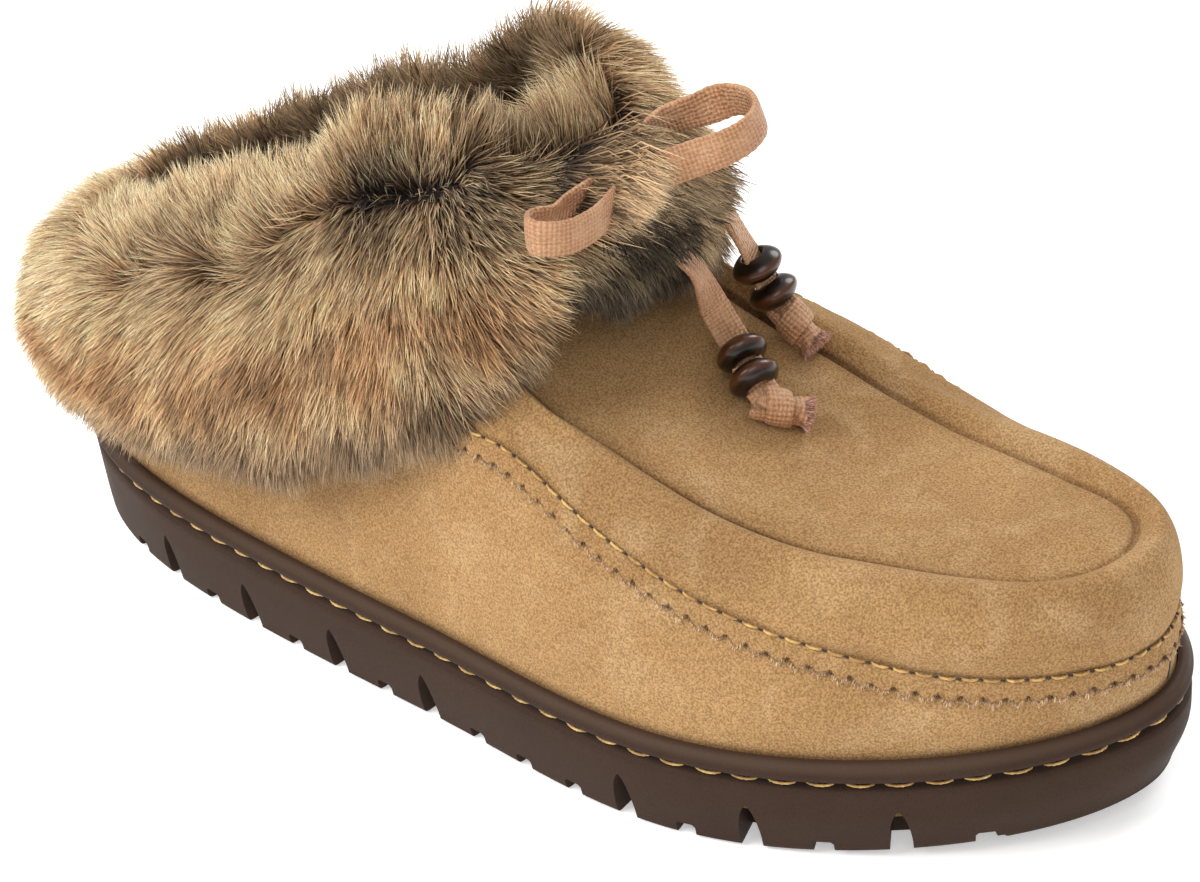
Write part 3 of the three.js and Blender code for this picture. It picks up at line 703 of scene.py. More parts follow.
def build_bead(name, node, middle, axis, material):
    """A lens-shaped bead with rounded rim and a countersunk hole, threaded on the lace."""
    half = np.column_stack([BEAD_SECTION, np.zeros(len(BEAD_SECTION))])
    profile = np.vstack([half, half[::-1] * [1, -1, 1]])
    fine = through(profile, np.linspace(0, 1, 2 * len(profile)))[:, :2]
    axis = unit(axis)
    first, second = two_ways(axis, [0.1, 0.3, 1.0])
    turn = circle(56)
    uneven = 1 + 0.008 * np.sin(3 * turn + middle[0])
    ring_ways = (np.cos(turn)[:, None] * first + np.sin(turn)[:, None] * second) * uneven[:, None]
    points = middle + fine[:, None, :1] * ring_ways[None] + fine[:, None, 1:] * axis
    edge = np.repeat(smoothstep(4.3, 5.3, fine[:, 0]), len(turn))
    form = (points.reshape(-1, 3), [grid_faces(len(fine), len(turn), closed_rows=True)])
    return add_piece(name, form, material, (node,), {"edge": edge})


def build_stub(name, end, way, material):
    """The folded end of the lace beyond its knot, where the braid opens out."""
    path = end + way * np.linspace(*STUB_REACH, 26)[:, None]
    angle = circle(28)
    share = np.linspace(0, 1, len(path))[:, None]
    folds = 1 + 0.10 * np.sin(3 * angle + 5 * share) + 0.05 * np.sin(7 * angle + 2.0)
    section = round_section(28, 1, 0.86) * ((2.35 + 0.75 * share) * folds)[..., None]
    facing = np.broadcast_to(unit(np.cross(way, [0.3, 0.8, 0.2])), path.shape)
    marks = {"along": np.repeat(share * 6.2, len(angle)), "across": np.tile(angle * 2.6, len(path))}
    return add_piece(name, tube(path, section, facing), material, marks=marks)


def build_tuft(name, middle, way, count, material):
    """A frayed tuft: fine fibres that fan out from the end of the lace."""
    draw = np.random.default_rng(count)
    first, second = two_ways(way, [0.2, 0.1, 1.0])
    angle = draw.uniform(0, FULL_TURN, count)
    out = np.sqrt(draw.uniform(0, 1, count))
    side = np.cos(angle)[:, None] * first + np.sin(angle)[:, None] * second
    roots = middle + side * (out * TUFT_RADIUS)[:, None]
    heads = unit(way + side * (out * TUFT_SPREAD)[:, None] + draw.normal(size=(count, 3)) * 0.16)
    curl = unit(np.cross(heads, draw.normal(size=(count, 3))))
    long = TUFT_LONG * draw.uniform(0.65, 1.1, count)
    ways = [unit(heads + curl * bend) for bend in (0.0, 0.3, 0.75)]
    tint = TUFT_DARK + (TUFT_LIGHT - TUFT_DARK) * draw.uniform(0, 1, (count, 1))
    form, marks = blades(roots, ways, long, curl, np.full(count, TUFT_WIDE),
                         [tint * k for k in (0.5, 0.75, 1, 1.1)])
    return add_piece(name, form, material, marks=marks)


def blades(roots, ways, long, facing, wide, tints):
    """Hairs as narrow blades from foot to point, with a span for each way and a tint at each joint."""
    count = len(roots)
    spans = len(ways)
    across = unit(np.cross(ways[0], facing)) * (wide / 2)[:, None]
    rows = []
    colours = []
    spine = roots
    for k, way in enumerate(ways):
        narrow = 1 - 0.35 * k / spans
        rows += [spine - across * narrow, spine + across * narrow]
        colours += [tints[k], tints[k]]
        spine = spine + way * (long / spans)[:, None]
    rows.append(spine)
    colours.append(tints[-1])
    each = len(rows)
    base = (np.arange(count) * each)[:, None]
    fours = [base + np.array([0, 1, 3, 2]) + 2 * k for k in range(spans - 1)]
    threes = base + np.array([each - 3, each - 2, each - 1])
    colour = np.concatenate([np.stack(colours, axis=1), np.ones((count, each, 1))], axis=2)
    form = (np.stack(rows, axis=1).reshape(-1, 3), [np.concatenate(fours), threes])
    return form, {"tint": colour.reshape(-1, 4)}


def build_lace():
    lace = lace_material()
    bead = bead_material()
    fibre = hair_material("lace_fibre", 0.7)
    cords = {}
    for name in ROUTES:
        path, run = lace_path(name)
        facing = through(unit(np.array(FACES[name], float)), np.linspace(0, 1, len(path)))
        form, marks = ribbon(path, run, facing, LOOP_WIDE if "loop" in name else LACE_WIDE)
        cords[name] = (add_piece(name + "_lace", form, lace, (name,), marks), path, run[-1])

    build_knot("bow_knot_lace", "bow_knot", BOW_KNOT, BOW_KNOT_AXIS, BOW_KNOT_SIZE, lace)
    for side, (carriers, tuft_tip, fibres) in ENDS.items():
        route = np.array(ROUTES["lace_end_" + side], float)
        end = route[-1]
        way = unit(np.array(tuft_tip) - end)
        for number, index in enumerate(carriers):
            share = index / (len(route) - 1)
            near = through(route, [share - 0.004, share, share + 0.004])
            node = f"bead_{side}_{number + 1}"
            build_bead(node + "_wood", node, near[1], near[2] - near[0], bead)
        node = "end_knot_" + side
        build_knot(node + "_lace", node, end, way, END_KNOT_SIZE, lace)
        build_stub("end_stub_" + side, end, way, lace)
        build_tuft("tuft_" + side, end + way * TUFT_FROM, way, fibres, fibre)
        piece, path, length = cords["lace_end_" + side]
    for name in ("bow_loop_outer", "bow_loop_inner"):
        piece, path, length = cords[name]


# Outlines that the sole, the upper and the footbed share

# How many stations each side of the sole has, for the solid pieces and for the finer lines of stitches
SOLE_STATIONS = 190
UPPER_STATIONS = 170
FOOTBED_STATIONS = 110
LINE_STATIONS = 900
PLAN_WIDTH, PLAN_SHIFT, PLAN_ARCH = columns(PLAN)
SECTION_CURVES = columns(SECTIONS)


def plan_points(at, side, inset, end_inset):
    along = np.where(at < 0, HEEL_ROUNDING[0], TOE_ROUNDING[0])
    across = np.where(at < 0, HEEL_ROUNDING[1], TOE_ROUNDING[1])
    cap = np.clip(1 - np.abs(at) ** along, 0, None) ** (1 / across)
    half = PLAN_WIDTH(at) - inset - np.where(side > 0, PLAN_ARCH(at), 0)
    return np.stack([at * (SOLE_LENGTH / 2 - end_inset), PLAN_SHIFT(at) + side * half * cap], axis=-1)


def stations(per_side):
    """Stations round the sole: up the outer side from heel to toe, then back down the inner side."""
    angle = (np.arange(per_side + 1) / per_side - 0.5) * math.pi
    at = np.concatenate([np.sin(angle), np.sin(angle[1:-1][::-1])])
    side = np.concatenate([np.full(per_side + 1, -1.0), np.full(per_side - 1, 1.0)])
    return at, side


def toe_lift(at):
    return TOE_SPRING * np.clip((at - TOE_SPRING_START) / (1 - TOE_SPRING_START), 0, None) ** 2


def tread_height(at):
    """The tread rests under the heel and the ball, and clears the ground by a little between them."""
    heel = HEEL_LIFT * np.clip((-at - HEEL_LIFT_START) / (1 - HEEL_LIFT_START), 0, None) ** 2
    share = (at + HEEL_LIFT_START) / (TOE_SPRING_START + HEEL_LIFT_START)
    return toe_lift(at) + heel + SHANK_LIFT * np.sin(math.pi * np.clip(share, 0, 1))


def groove_height(at):
    heel, toe = GROOVE_LEVEL
    return heel + (toe - heel) * (at + 1) / 2 + toe_lift(at)


def floor_height(at):
    heel, toe = FLOOR_LEVEL
    return heel + (toe - heel) * (at + 1) / 2 + toe_lift(at)


def ring(at, side, inset, height):
    """A ring of stations. inset is a number or a function of the station, height a function of it."""
    def value(where):
        return inset(where) if callable(inset) else np.full(np.shape(where), float(inset))
    flat = plan_points(at, side, value(at), value(np.sign(at)))
    return np.concatenate([flat, height(at)[:, None]], axis=1)


def raised(height, rise):
    """A function of the station that lies a little above another."""
    return lambda at: height(at) + rise


def closed_over(rim, shares, draw_in, rise):
    """Rings that close a rim straight across, at shares of its width, drawn in at its ends."""
    across = rim[(len(rim) - np.arange(len(rim))) % len(rim)]
    middle = (rim[:, 1] + across[:, 1]) / 2
    return np.array([np.stack([rim[:, 0] * (1 - (1 - share) * draw_in),
                               middle + (rim[:, 1] - middle) * share,
                               rim[:, 2] + rise(share)], axis=1) for share in shares])


# The sole

(LOW_INSET,) = columns(np.array([(-1, 0.1), (-0.5, 1.1), (0.5, 1.1), (1, 2.6)]))
# share of the low edge's inset, more inset, share of the way from tread to groove, height above that
SOLE_ROWS = {
    "foot": ((1, 1.6, 0, 0), (1, 0.7, 0, 0.15)),
    "wall": ((1, 0.2, 0, 0.7), (0.8, 0, 0.16, 0), (0, -0.3, 0.55, 0), (0, -0.7, 1, -2)),
    "groove": ((0, -0.7, 1, -2), (0, -0.25, 1, -1.15), (0, 0.5, 1, -0.6), (0, 0.6, 1, 0.35),
               (0, -0.3, 1, 0.9), (0, -0.95, 1, 1.6), (0, -1.1, 1, 2.5), (0, -0.8, 1, 3.4),
               (0, 0.05, 1, RIM_RISE - 0.45), (0, 1.0, 1, RIM_RISE - 0.05),
               (0, RIM_INSET, 1, RIM_RISE - 0.25)),
    "inside": ((0, RIM_INSET + 0.05, 1, RIM_RISE - 1.2),),
}
WALL_STEPS = 13
GROOVE_STEPS = 31
NOTCH_FIRST = -103.8
NOTCH_PITCH = 13.554
NOTCH_COUNT = 17
NOTCH_DEEP = 9.0
NOTCH_FOOT = -3.0
LARGE_NOTCHES = (1, 3, 5, 7, 11, 13, 15)
LARGE_NOTCH = (4.6, 12.0)
SMALL_NOTCH = (4.2, 3.2)
CHANNEL = (3.0, 1.6)
CHANNEL_FOOT = -4.0
CHANNEL_REACH = 70.0

SEAM_PITCH = 4.2
# pitch, length, radius, height in the middle, height at the ends, spans, twist, where the row starts
STITCHES = {
    "groove_stitches": (7.5, 5.7, 0.29, 0.16, -0.95, 12, 1.6, 0.0),
    "seam_stitches": (SEAM_PITCH, 3.3, 0.27, 0.26, -0.45, 8, 1.2, 0.0),
    # Painted shadow: short dark pieces that sit in the stitch holes
    "seam_hole_shadows": (SEAM_PITCH, 0.8, 0.23, 0.05, -0.35, 5, 1.2, SEAM_PITCH * 0.79),
}


def sole_rows(at, side, part):
    rows = []
    for low, more, share, rise in SOLE_ROWS[part]:
        rows.append(ring(at, side, lambda a: LOW_INSET(a) * low + more,
                         lambda a: tread_height(a) + share * (groove_height(a) - tread_height(a)) + rise))
    return np.array(rows)


def notch_outline(wide, high):
    """A side notch seen from the side: a tall one comes to a rounded point, a low one is flat."""
    half = wide / 2
    base = [(-half, NOTCH_FOOT), (half, NOTCH_FOOT)]
    if high <= wide:
        top = [(half, high * 0.8), (wide * 0.36, high), (-wide * 0.36, high), (-half, high * 0.8)]
        return np.array(base + top)
    t = np.linspace(0, 1, 9)[:, None]
    a, b, c = np.array([(half, high * 0.25), (wide * 0.42, high * 0.85), (0.0, high)])
    rising = (1 - t) ** 2 * a + 2 * t * (1 - t) * b + t * t * c
    return np.vstack([base, rising, rising[-2::-1] * [-1, 1]])


def tread_cutters():
    """Channels across the tread and notches in its edges."""
    channels = []
    notches = []
    for index in range(NOTCH_COUNT):
        x = NOTCH_FIRST + NOTCH_PITCH * index
        station = x / (SOLE_LENGTH / 2)
        lift = float(tread_height(np.array(station)))
        large = index in LARGE_NOTCHES
        if not large:
            half = CHANNEL[0] / 2
            deep = CHANNEL[1]
            outline = np.array([(-half, CHANNEL_FOOT), (half, CHANNEL_FOOT), (half * 0.7, deep),
                                (-half * 0.7, deep)])
            origin = np.array([x, -CHANNEL_REACH, lift])
            channels.append(prism(outline, (AHEAD, UP, INWARD), origin, 2 * CHANNEL_REACH))
        for edge in (-1.0, 1.0):
            here = plan_points(np.array([station, station + 0.01]), np.array([edge, edge]), 0, 0)
            along = unit(np.append(here[1] - here[0], 0.0))
            outward = np.array([along[1], -along[0], 0.0]) * -edge
            start = np.append(here[0], lift) - outward * NOTCH_DEEP
            outline = notch_outline(*(LARGE_NOTCH if large else SMALL_NOTCH))
            notches.append(prism(outline, (along, UP, outward), start, NOTCH_DEEP + 3.0))
    return channels, notches


def build_sole(rubber, thread):
    at, side = stations(SOLE_STATIONS)
    foot, wall, groove, inside = (sole_rows(at, side, part) for part in SOLE_ROWS)
    wall = through(wall, np.linspace(0, 1, WALL_STEPS))
    groove = through(groove, np.linspace(0, 1, GROOVE_STEPS))
    rings = np.concatenate([foot, wall, groove[1:], inside, ring(at, side, RIM_INSET, floor_height)[None]])
    # The wall is a little uneven, as moulded rubber is
    uneven = slice(len(foot) + 1, len(foot) + WALL_STEPS + 1)
    push = unit(rings[:, :, :2] - rings[:, :, :2].mean(1)[:, None])
    lumps = waves(rings, 26.0, 5)[..., None] * 0.14
    rings[uneven, :, :2] += (push * lumps)[uneven]
    sole = link("outsole_rubber", make_mesh("outsole_rubber", *loft(rings), smooth=False))
    channels, notches = tread_cutters()
    cut(sole, "channels", channels)
    cut(sole, "notches", notches)
    points = mesh_points(sole.data)
    rise = points[:, 2] - groove_height(np.clip(points[:, 0] / (SOLE_LENGTH / 2), -1, 1))
    # The rim's top is marked for a painted highlight, and the groove for painted shade
    finish_cut(sole, (rubber,), "rubber", "outsole", 38,
               wear=smoothstep(2.6, 4.2, rise) * smoothstep(5.4, 4.6, rise),
               shade=smoothstep(1.1, 0.2, np.abs(rise + 0.05)) * 0.85)

    at, side = stations(LINE_STATIONS)
    line = ring(at, side, 0.15, groove_height)
    out = ring(at, side, -0.85, groove_height) - line
    build_stitches("groove_stitches", np.vstack([line, line[:1]]), np.vstack([out, out[:1]]), thread,
                   "rubber")


def build_stitches(name, line, outward, material, slot):
    """Stitches along a line: each rises proud of it in the middle and dives in at its ends."""
    pitch, long, radius, proud, sunk, spans, twist, offset = STITCHES[name]
    run = running(line)
    outward = unit(outward)
    count = int(run[-1] // pitch)
    draw = np.random.default_rng(count)
    parts = []
    shares = np.linspace(0, 1, spans + 1)
    arch = np.sin(shares * math.pi) ** 0.6
    taper = 0.55 + 0.45 * np.sin(np.clip(shares, 0.02, 0.98) * math.pi) ** 0.4
    for index in range(count):
        start = offset + index * (run[-1] / count) + draw.uniform(-0.15, 0.15)
        where = start + shares * long * draw.uniform(0.95, 1.04)
        out = unit(at_run(where, run, outward))
        lift = sunk + (proud - sunk) * arch + draw.uniform(-0.08, 0.08)
        slip = draw.uniform(-0.12, 0.12) * (shares - 0.5)
        path = at_run(where, run, line) + out * lift[:, None] + UP * slip[:, None]
        strands = 1 + 0.2 * np.cos(2 * (circle(10) - (where * FULL_TURN / twist)[:, None]))
        section = round_section(10, radius, radius) * strands[..., None] * taper[:, None, None]
        parts.append(tube(path, section, out))
    add_piece(name, joined(parts), material)


# The upper

UPPER_SPAN = 9
LAST_SPAN = np.array([0.12, 0.25, 0.38, 0.5, 0.6, 0.7, 0.78, 0.85, 0.9, 0.94, 0.965, 0.985, 1.0])
APRON_SHARES = (0.992, 0.982, 0.968, 0.95, 0.925, 0.9, 0.86, 0.8, 0.7, 0.58, 0.45, 0.32, 0.2, 0.1)
CEILING = 200.0
ROOM_FOOT = 8.0
OPENING_REACH = 90.0
SKIN_NEAR = 0.6
# station, width, lean, amount, side: soft troughs and ridges where the suede gives
CREASES = (
    (0.16, 0.030, 0.02, -0.9, -1),
    (0.22, 0.035, 0.02, 0.5, -1),
    (0.31, 0.030, 0.04, -0.5, -1),
    (0.52, 0.050, -0.03, -0.45, -1),
    (0.60, 0.045, -0.03, 0.35, -1),
    (0.74, 0.030, 0.0, -0.45, -1),
    (0.20, 0.030, 0.02, -0.7, 1),
    (0.45, 0.045, 0.03, -0.5, 1),
    (0.66, 0.040, 0.0, 0.4, 1),
)


def outer_rows(at, side, levels=OUTER_LEVELS):
    """The section's control points, (k, n, 3), from the sole's rim to the crease."""
    rows = [ring(at, side, RIM_INSET + GAP, raised(groove_height, RIM_RISE))]
    for level in levels:
        column = LEVELS[level]
        rows.append(ring(at, side, SECTION_CURVES[column], SECTION_CURVES[column + 1]))
    return np.array(rows)


def upper_rings(at, side, levels, shares, apron_shares):
    foot = ring(at, side, RIM_INSET + GAP, raised(floor_height, GAP))
    body = through(outer_rows(at, side, levels), shares)
    apron = closed_over(body[-1], apron_shares, 0.08, lambda share: 1.5 * (1 - share * share))
    return np.concatenate([foot[None], body, apron])


def ring_normals(rings):
    """Outward normals of rings whose count runs round and whose rows run up."""
    around = np.roll(rings, -1, 1) - np.roll(rings, 1, 1)
    return unit(np.cross(around, np.gradient(rings, axis=0)))


def crease_depth(at, side):
    """How sharply the apron folds in, by station: sharp along the outer side, soft at the toe."""
    outer = smoothstep(-0.05, 0.12, at) * (1 - 0.75 * smoothstep(0.68, 0.9, at))
    inner = smoothstep(-0.05, 0.12, at) * (0.65 - 0.25 * smoothstep(0.3, 0.6, at))
    return np.where(side < 0, outer, inner)


def suede_form(at, side):
    """The suede's outer rings with their creases, and how dark each point is."""
    spans = len(OUTER_LEVELS)
    low = np.linspace(0, (spans - 1) / spans, UPPER_SPAN * (spans - 1) + 1)
    shares = np.concatenate([low, (spans - 1 + LAST_SPAN) / spans])
    rings = upper_rings(at, side, OUTER_LEVELS, shares, APRON_SHARES)
    run = running(rings)
    from_crease = run - run[len(shares)]
    from_seam = run - run[1 + 2 * UPPER_SPAN]
    depth = crease_depth(at, side)[None]

    soft = layered(rings, (42.0, 3, 0.24), (17.0, 4, 0.08)) * smoothstep(0.0, 9.0, run)
    fold = smoothstep(-3.0, 0.0, from_crease) * smoothstep(7.0, 0.0, from_crease) * 0.5
    valley = bell(from_crease, 0.6) * 1.5 + fold
    pucker = bell(from_seam + 1.0, 5.0) * waves(rings, 9.0, 23) * 0.22
    near_seam = smoothstep(-26.0, -12.0, from_seam) * smoothstep(26.0, 8.0, from_seam)
    troughs = 0.0
    for station, width, lean, amount, which in CREASES:
        along = at[None] - station - lean * (from_seam / 60.0)
        troughs = troughs + amount * bell(along, width) * (side[None] * which >= 0) * near_seam
    move = soft - valley * depth - bell(from_seam, 1.1) * 0.45 - pucker * 0.6 + troughs * 0.5
    move[:2] = 0.0

    past_crease = bell(np.maximum(from_crease, 0), 3.0) * smoothstep(-0.8, 0.2, from_crease)
    dark = (bell(from_crease, 0.55) * depth * 0.9 + bell(from_seam, 0.5) * 0.15 + past_crease * depth * 0.2
            + smoothstep(1.6, 0.0, run - run[1]) * 0.45)
    return rings + ring_normals(rings) * move[..., None], np.clip(dark, 0, 1)


def room_form(at, side):
    """The rings of the room inside the upper, a wall's thickness within its outside."""
    rings = upper_rings(at, side, INNER_LEVELS, np.linspace(0, 1, 25), (0.9, 0.7, 0.4, 0.1))
    inward = ring_normals(rings)
    inward[:2, :, 2] = 0
    inward[:2] = unit(inward[:2])
    foot = rings[0, :, 2] - ROOM_FOOT
    rings = rings - inward * WALL
    rings[0, :, 2] = foot
    return rings


def build_upper(suede, lining):
    at, side = stations(UPPER_STATIONS)
    rings, dark = suede_form(at, side)
    upper = link("upper_suede", make_mesh("upper_suede", *loft(rings), smooth=False))
    cut(upper, "room", [loft(room_form(at, side))])
    outline = np.array([*TOP_LINE, (TOP_LINE[-1][0], CEILING), (TOP_LINE[0][0], CEILING)], float)
    cut(upper, "opening", [prism(outline, (AHEAD, UP, INWARD), -OPENING_REACH * INWARD, 2 * OPENING_REACH)])
    mesh = upper.data
    tree = tree_of(rings.reshape(-1, 3))
    found = [tree.find(point) for point in mesh_points(mesh)]
    outside = np.array([away < SKIN_NEAR for _, _, away in found])
    shade = np.where(outside, dark.ravel()[[index for _, index, _ in found]], 0.0)
    finish_cut(upper, (suede, lining), "suede", "upper", 42, shade=shade)
    lined = [sum(outside[v] for v in face.vertices) * 2 < len(face.vertices) for face in mesh.polygons]
    mesh.polygons.foreach_set("material_index", np.array(lined, np.int32))


# The moccasin seam

SEAM_FROM = -52.0
SEAM_STEPS = 61
SEAM_ROW = 40
STRIP_RUN = 4.5
STRIP_THICK = 0.55
TOOTH_PITCH = 4.1
TOOTH_DEEP = 1.5
# The pinked strip's profile from the seam to its edge: share of its width, its stand-off, its shade
STRIP_PROFILE = (
    (0.0, -0.5, 0.35), (0.03, -0.1, 0.35), (0.1, 0.35, 0), (0.25, 0.7, 0), (0.55, 0.85, 0), (0.85, 1.0, 0),
    (0.96, 0.95, 0.25), (1.0, 0.72, 0.5), (1.0, 0.3, 0.5), (0.97, -0.3, 0.25),
)
FRAY_COUNT = 11000
# The fray hairs' own colour, and a painted shadow colour for the hairs in the notches
FRAY_TINT = np.array([0.66, 0.46, 0.28])
FRAY_NOTCH_SHADOW = np.array([0.13, 0.07, 0.035])
TOE_SEAM_AT = 17.0
TOE_SEAM_ROW = 20


def build_fray(on_surface, edge, tooth):
    """The nap that frays out along the pinked edge. Its hairs in the notches are painted dark as the
    notches' shadow.
    """
    draw = np.random.default_rng(19)
    pick = draw.integers(0, len(edge), FRAY_COUNT)
    middle = np.full(len(edge), 0.5 * STRIP_THICK)
    tip, outward = on_surface(edge, middle)
    way = unit(on_surface(edge + 1.0, middle)[0] - tip)[pick]
    outward = outward[pick]
    roots = tip[pick] - way * 0.4 + outward * draw.uniform(-0.4, 0.5, (FRAY_COUNT, 1))
    sideways = unit(draw.normal(size=(FRAY_COUNT, 3)))
    ways = [unit(way + sideways * 0.6 + outward * 0.2), unit(way + sideways * 1.2)]
    # Painted shadow: hairs near a notch's root take the dark shadow colour
    notch_shadow = smoothstep(0.42, 0.12, tooth[pick])[:, None]
    tint = FRAY_TINT * (1 - notch_shadow) + FRAY_NOTCH_SHADOW * notch_shadow
    tint = tint * draw.uniform(0.7, 1.25, (FRAY_COUNT, 1))
    form, marks = blades(roots, ways, draw.uniform(0.6, 1.5, FRAY_COUNT), sideways,
                         np.full(FRAY_COUNT, 0.22), [tint * 0.8, tint, tint * 1.1])
    add_piece("seam_fray", form, hair_material("suede_fibre", 0.9), marks=marks)


def build_seam(suede, thread, seam_shadow_paint):
    at, side = stations(LINE_STATIONS)
    near = through(outer_rows(at, side), np.linspace(0, 3 / len(OUTER_LEVELS), SEAM_STEPS))
    run = running(near)
    run = run - run[SEAM_ROW]
    normal = ring_normals(near)
    line = near[SEAM_ROW]
    chosen = np.where(line[:, 0] > SEAM_FROM)[0]
    chosen = np.arange(chosen[0], chosen[-1] + 1)
    surface = np.concatenate([near, normal], axis=2)

    def on_surface(distance, lift):
        """Points at distances down from the seam, one for each chosen station, lifted off the surface."""
        found = np.array([at_run(-d, run[:, index], surface[:, index])
                          for d, index in zip(distance, chosen)])
        outward = unit(found[:, 3:])
        return found[:, :3] + outward * lift[:, None], outward

    place = running(line)[chosen]
    tooth = np.abs(((place / TOOTH_PITCH) % 1.0) * 2 - 1)
    ragged = np.sin(place * 2.1) * 0.12 + np.sin(place * 5.3 + 1) * 0.1
    edge = STRIP_RUN + (tooth - 0.5) * TOOTH_DEEP + ragged
    uneven = waves(line[chosen], 7.0, 8) * 0.18
    rows = [on_surface(share * edge, stand * STRIP_THICK * (1 + uneven * (share > 0.2)))[0]
            for share, stand, _ in STRIP_PROFILE]
    shade = np.repeat([row[2] for row in STRIP_PROFILE], len(chosen))
    form = (np.concatenate(rows), [grid_faces(len(rows), len(chosen), closed_count=False)])
    add_piece("seam_edge", form, suede, marks={"shade": shade})

    build_fray(on_surface, edge, tooth)
    seam = on_surface(np.zeros(len(chosen)), np.full(len(chosen), 0.25))
    build_stitches("seam_stitches", *seam, thread, "suede")
    # Painted shadow in the stitch holes, between the gold stitches
    build_stitches("seam_hole_shadows", *seam, seam_shadow_paint, "suede")
    # The toe's short upright seam: a thin tube of painted shadow sunk into the wall
    beside = np.where((at > 0.9) & (side > 0))[0]
    station = beside[np.argmin(np.abs(near[TOE_SEAM_ROW, beside, 1] - TOE_SEAM_AT))]
    wall = near[1:SEAM_ROW, station]
    outward = normal[1:SEAM_ROW, station]
    form = tube(wall - outward * 0.08, round_section(8, 0.3, 0.22), outward)
    add_piece("toe_seam", form, seam_shadow_paint)


# The footbed

# inset from the upper's inside, height above the sole's floor
FOOTBED_ROWS = ((0.5, GAP), (0, GAP + 0.8), (0, INSOLE_THICKNESS - 2.2), (0.6, INSOLE_THICKNESS - 0.9),
                (2.2, INSOLE_THICKNESS - 0.2))


def build_footbed(pile):
    at, side = stations(FOOTBED_STATIONS)
    inset = RIM_INSET + GAP + WALL + INSOLE_EASE
    rows = np.array([ring(at, side, inset + more, raised(floor_height, rise))
                     for more, rise in FOOTBED_ROWS])
    body = through(rows, np.linspace(0, 1, 17))
    top = closed_over(body[-1], np.arange(9, 0, -1) / 10, 0.1, lambda share: -1.1 * (1 - share))
    rings = np.concatenate([body, top])
    rings[5:, :, 2] += np.minimum(waves(rings[5:], 16.0, 31) * 0.28, 0.15)
    footbed = add_piece("footbed_pile", loft(rings), pile, ("insole",))


# The fur cuff. Its form is a section swept round a loop: a turn is a share of the loop from the heel by the
# outer side, and a place runs from 0 at the inside's low edge over the top to 12 at the outside's.

CUFF_GUIDE = {"x": -57.5, "y": 1.0, "long": 71.0, "wide": 34.0, "heel": 2.3, "front": 3.4}
# turn, low, top, puff
CUFF_ROWS = np.array([
    (0.0, 41, 77, 1.0),
    (0.125, 41, 84, 1.0),
    (0.1875, 43, 94, 1.05),
    (0.25, 49, 109, 1.05),
    (0.3125, 62, 131, 0.95),
    (0.375, 73, 133, 0.97),
    (0.4375, 81, 129, 1.05),
    (0.5, 81, 126, 1.05),
])
# out from the guide loop, up as a share of the height
CUFF_SECTION = np.array([
    (-8.5, 0.0), (-9, 0.14), (-12, 0.38), (-15.5, 0.6), (-17, 0.8), (-15, 0.94), (-10, 1.0),
    (-2, 0.93), (6.5, 0.77), (12.5, 0.54), (14.5, 0.3), (13, 0.1), (9, 0.0),
])
SECTION_HEIGHT = 20.0
PLACES = 12.0
# turn, how far the fur's lower edge is drawn up there
EDGE_LIFT = np.array([
    (0.0, 0.0), (0.385, 0.0), (0.40, 3.0), (0.42, 4.5), (0.43, 7.0), (0.44, 13.5), (0.47, 13.0),
    (0.49, 8.0), (0.51, 5.5), (0.53, 3.5), (0.56, 0.0), (1.0, 0.0),
])
# turn, place where the hair parts
PARTING = np.array([
    (0.0, 5.0), (0.1, 6.6), (0.16, 7.7), (0.206, 8.0), (0.242, 8.1), (0.258, 8.0), (0.283, 7.8),
    (0.328, 7.6), (0.367, 7.3), (0.408, 6.8), (0.456, 7.2), (0.492, 7.4), (0.525, 7.2), (0.56, 6.2),
    (0.6, 4.6), (0.65, 3.6), (0.8, 3.6), (0.9, 4.2), (1.0, 5.0),
])
# turn, lean of the hair above the parting and below it, in degrees towards the next turn
LEAN = np.array([
    (0.0, 0, 5), (0.1, -20, 0), (0.16, -35, -28), (0.2, -32, -38), (0.235, -28, -26), (0.27, -22, -6),
    (0.3, -12, 8), (0.33, 5, 24), (0.36, 18, 42), (0.4, 12, 60), (0.43, -8, 64), (0.46, -10, 48),
    (0.5, 0, 8), (0.55, 20, -8), (0.6, 5, -14), (0.75, 0, 12), (0.9, 0, 12), (1.0, 0, 5),
])
# point on the cuff, radius, how much more the hair stands up there, how much darker it is. The points were
# picked in the photograph and put on the cuff with the fitted camera.
SPOTS = (
    ((-11.1, -33.8, 120.3), 9.0, 0.95, 0.85),
    ((-43.9, -40.4, 98.0), 5.0, 0.7, 0.6),
    ((-23.2, -41.3, 103.6), 6.0, 0.8, 0.75),
    ((7.6, -33.2, 113.3), 8.0, 0.9, 0.6),
    ((6.2, -36.9, 106.3), 6.0, 0.8, 0.5),
    ((17.6, -32.0, 97.2), 6.0, 0.5, 0.5),
    ((1.9, -40.6, 93.4), 6.0, 0.5, 0.4),
    ((2.9, -18.8, 129.1), 6.0, 0.7, 0.7),
    ((8.9, -23.1, 123.4), 6.0, 0.8, 0.8),
    ((14.6, -22.7, 118.9), 7.0, 0.7, 0.75),
    ((14.7, -5.3, 120.3), 9.0, 0.6, 0.45),
    ((19.5, -16.6, 115.3), 7.0, 0.3, 0.6),
)
